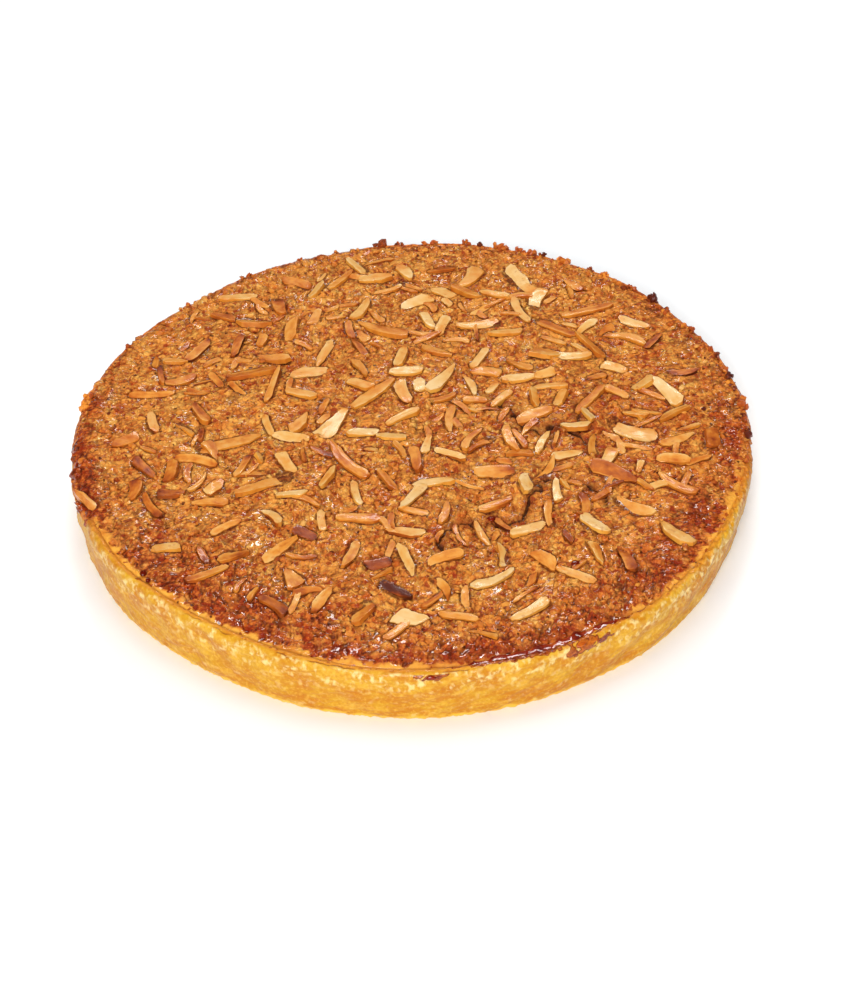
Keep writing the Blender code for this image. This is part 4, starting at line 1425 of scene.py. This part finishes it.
def make_trough(finish):
    """The caramel that boiled up between the crust and the filling: a lens-shaped section carried
    round the rim, its width the root of half a sine, swelling by ripples above and sunk below."""
    share = np.linspace(0, 1, TROUGH_STATIONS)[:, None]
    angle = np.radians(TROUGH_START + (TROUGH_END - TROUGH_START) * share)
    turn = np.linspace(0, FULL_TURN, TROUGH_COLUMNS, endpoint=False)[None, :]
    angle, turn = np.broadcast_arrays(angle, turn)
    full = np.sin(math.pi * (0.02 + 0.96 * share)) ** 0.5
    wobble = ripples_round(angle, 0, 101, 30, (3, 14))
    bumps = ripples_round(angle, 2 * MM * np.cos(turn), 103, 30, (2, 6), (2, 6))
    across = np.cos(turn) * full * (TROUGH_HALF_WIDTH + 0.45 * MM * wobble)
    inset = TROUGH_INSET + 0.35 * MM * np.sin(9 * angle) - across
    point = wall_point(angle, inset, 1.0)
    rise = np.sin(turn)
    upper = np.abs(rise) ** 0.6 * (0.45 * MM + 0.1 * MM * wobble + 0.05 * MM * bumps)
    point[..., 2] += full * np.where(rise > 0, upper, rise * 1.2 * MM) - 0.8 * MM
    points = np.concatenate((point.reshape(-1, 3), point[[0, -1]].mean(axis=1)))
    numbers = np.arange(turn.size).reshape(turn.shape)
    depth = np.concatenate(((0.75 + 0.15 * np.cos(turn) + 0.12 * wobble).ravel(), (0.6, 0.6)))
    faces = tube(numbers, turn.size, turn.size + 1)
    piece("caramel_trough", points, faces, finish, "almond_filling", {"tone": depth})


def craggy_ball(draw):
    """A unit ball on a grid of latitudes, its radius swelling and shrinking by a few random waves and
    by a random push of each point, with its two poles."""
    up = np.linspace(-1, 1, BLOB_ROWS + 2)[1:-1, None] * math.pi / 2
    turn = np.linspace(0, FULL_TURN, BLOB_COLUMNS, endpoint=False)[None, :]
    x, y, z = np.broadcast_arrays(np.cos(up) * np.cos(turn), np.cos(up) * np.sin(turn), np.sin(up))
    heading = draw.normal(0, 1, (5, 3))
    swell = sum(np.sin(3.2 * (x * a + y * b + z * c) + 2 * a) for a, b, c in heading) / 3
    radius = 1 + BLOB_ROUGHNESS * (0.7 * swell + draw.uniform(-1, 1, x.shape) * 0.7)
    ball = (np.stack((x, y, z), axis=-1) * radius[..., None]).reshape(-1, 3)
    return np.concatenate((ball, ((0, 0, -1.0), (0, 0, 1.0))))


def make_caramel_blobs(finish):
    """Boiled bubbles, drips and beads of caramel, as craggy balls squashed to their sizes."""
    draw = np.random.default_rng(BLOB_SEED)
    rows = []
    for degrees, inset, below, *sizes, tone in BLOBS:
        centre = wall_point(math.radians(degrees), inset * MM, 1.0) - (0, 0, below * MM)
        rows.append((*centre, *sizes, math.radians(degrees), tone))
    for x, y in BEADS:
        rows.append((x * MM, y * MM, float(top_height(x * MM, y * MM)), *BEAD_SIZES, 0, BEAD_TONE))
    rows = np.array(rows)
    centres, sizes, angles, tones = rows[:, :3], rows[:, 3:6] * MM, rows[:, 6:7], rows[:, 7]
    balls = np.array([craggy_ball(draw) for _ in rows]) * sizes[:, None]
    x, y, z = np.moveaxis(balls, -1, 0)
    x, y = x * np.cos(angles) - y * np.sin(angles), x * np.sin(angles) + y * np.cos(angles)
    points = np.stack((x, y, z), axis=-1) + centres[:, None]
    size = BLOB_ROWS * BLOB_COLUMNS
    starts = np.arange(len(rows)) * (size + 2)
    numbers = starts[:, None, None] + np.arange(size).reshape(BLOB_ROWS, BLOB_COLUMNS)
    faces = tube(numbers, starts + size, starts + size + 1)
    piece("caramel_blobs", points.reshape(-1, 3), faces, finish, "almond_filling", {"tone": tones})


# ---------------------------------------------------------------- stage

SKY = 0.32  # strength of the surround
FLOOR_REACH = 4
# Lights: name, place, aim, size, power, tint, and whether surfaces mirror it
LIGHTS = (
    ("key", (-0.45, -2.55, 1.65), (0, 0, 0), (1.1, 1.1), 82, (1.0, 0.985, 0.96), True),
    ("overhead", (0.1, 0.4, 3.0), (0, 0, 0), (2.0, 1.5), 31, (1.0, 1.0, 1.0), False),
    ("rear", (0.1, 2.5, 0.7), (0, 0, 0.02), (1.5, 0.3), 8, (1.0, 0.92, 0.8), False),
    ("sparkle", (0.12, 1.7, 1.8), (0, 0, 0.02), (0.8, 0.2), 14, (1.0, 1.0, 1.0), True),
)


def aimed(place, aim):
    """The pose of a light or a camera at a place, turned to another."""
    turn = (Vector(aim) - Vector(place)).to_track_quat("-Z", "Y")
    return Matrix.Translation(place) @ turn.to_matrix().to_4x4()


def area_light(name, place, aim, size, power, tint, glossy):
    """A rectangular light; one that isn't glossy lights surfaces without being mirrored in them."""
    lamp = bpy.data.lights.new(name, "AREA")
    lamp.shape = "RECTANGLE"
    lamp.size, lamp.size_y = size
    lamp.energy = power
    lamp.color = tint
    made = linked(name, lamp)
    made.matrix_world = aimed(place, aim)
    made.visible_glossy = glossy


def make_stage():
    """A white floor, a pale surround, the main light in front on the left, a soft one overhead, and two
    behind: a low warm one that isn't mirrored, and a small one for glints."""
    white = Finish("white_floor")
    white.set(Base_Color=(0.92, 0.95, 0.98, 1), Roughness=0.9)
    corners = [(x * FLOOR_REACH, y * FLOOR_REACH, 0) for x, y in ((-1, -1), (1, -1), (1, 1), (-1, 1))]
    mesh = bpy.data.meshes.new("floor")
    mesh.from_pydata(corners, [], [(0, 1, 2, 3)])
    mesh.materials.append(white.material)
    floor = linked("floor", mesh)
    world = bpy.data.worlds.new("surround")
    world.use_nodes = True
    sky = world.node_tree.nodes["Background"]
    sky.inputs["Color"].default_value = (1, 1, 1, 1)
    sky.inputs["Strength"].default_value = SKY
    bpy.context.scene.world = world
    world.cycles_visibility.glossy = False
    for light in LIGHTS:
        area_light(*light)
    bpy.context.scene.view_settings.view_transform = "Standard"


def make_camera():
    """The camera at its distance and rise in front of the tart, aimed past its middle and rolled."""
    lens = bpy.data.cameras.new("camera")
    lens.sensor_width = SENSOR
    lens.lens = LENS
    camera = linked("camera", lens)
    reach = CAMERA_DISTANCE * math.cos(CAMERA_RISE)
    place = (CAMERA_SIDE, -reach, CAMERA_DISTANCE * math.sin(CAMERA_RISE))
    camera.matrix_world = aimed(place, AIM) @ Matrix.Rotation(-CAMERA_ROLL, 4, "Z")
    bpy.context.scene.camera = camera


def main():
    """The camera and the stage, then the finishes, then all pieces."""
    make_camera()
    make_stage()
    crust = crust_finish()
    filling = paste_finish()
    almond = almond_finish("sliced_almond", gloss=0.24)
    nib = almond_finish("chopped_almond", gloss=0.2)
    crumb = crumb_finish()
    caramel = caramel_finish()
    slivers = sliver_places()
    slivers.append(RIM_SLIVER)
    slivers.extend(sunk_slivers(slivers))
    make_case(crust)
    make_filling(filling, slivers)
    make_slivers(almond, slivers)
    make_nibs(nib, slivers, NIBS)
    make_nibs(crumb, slivers, SKINS)
    make_lumps(filling, slivers, LUMPS)
    make_lumps(filling, slivers, GRAINS)
    make_rim_crumbs(crumb)
    make_fine_crumbs(crumb, slivers)
    make_trough(caramel)
    make_caramel_blobs(caramel)


main()
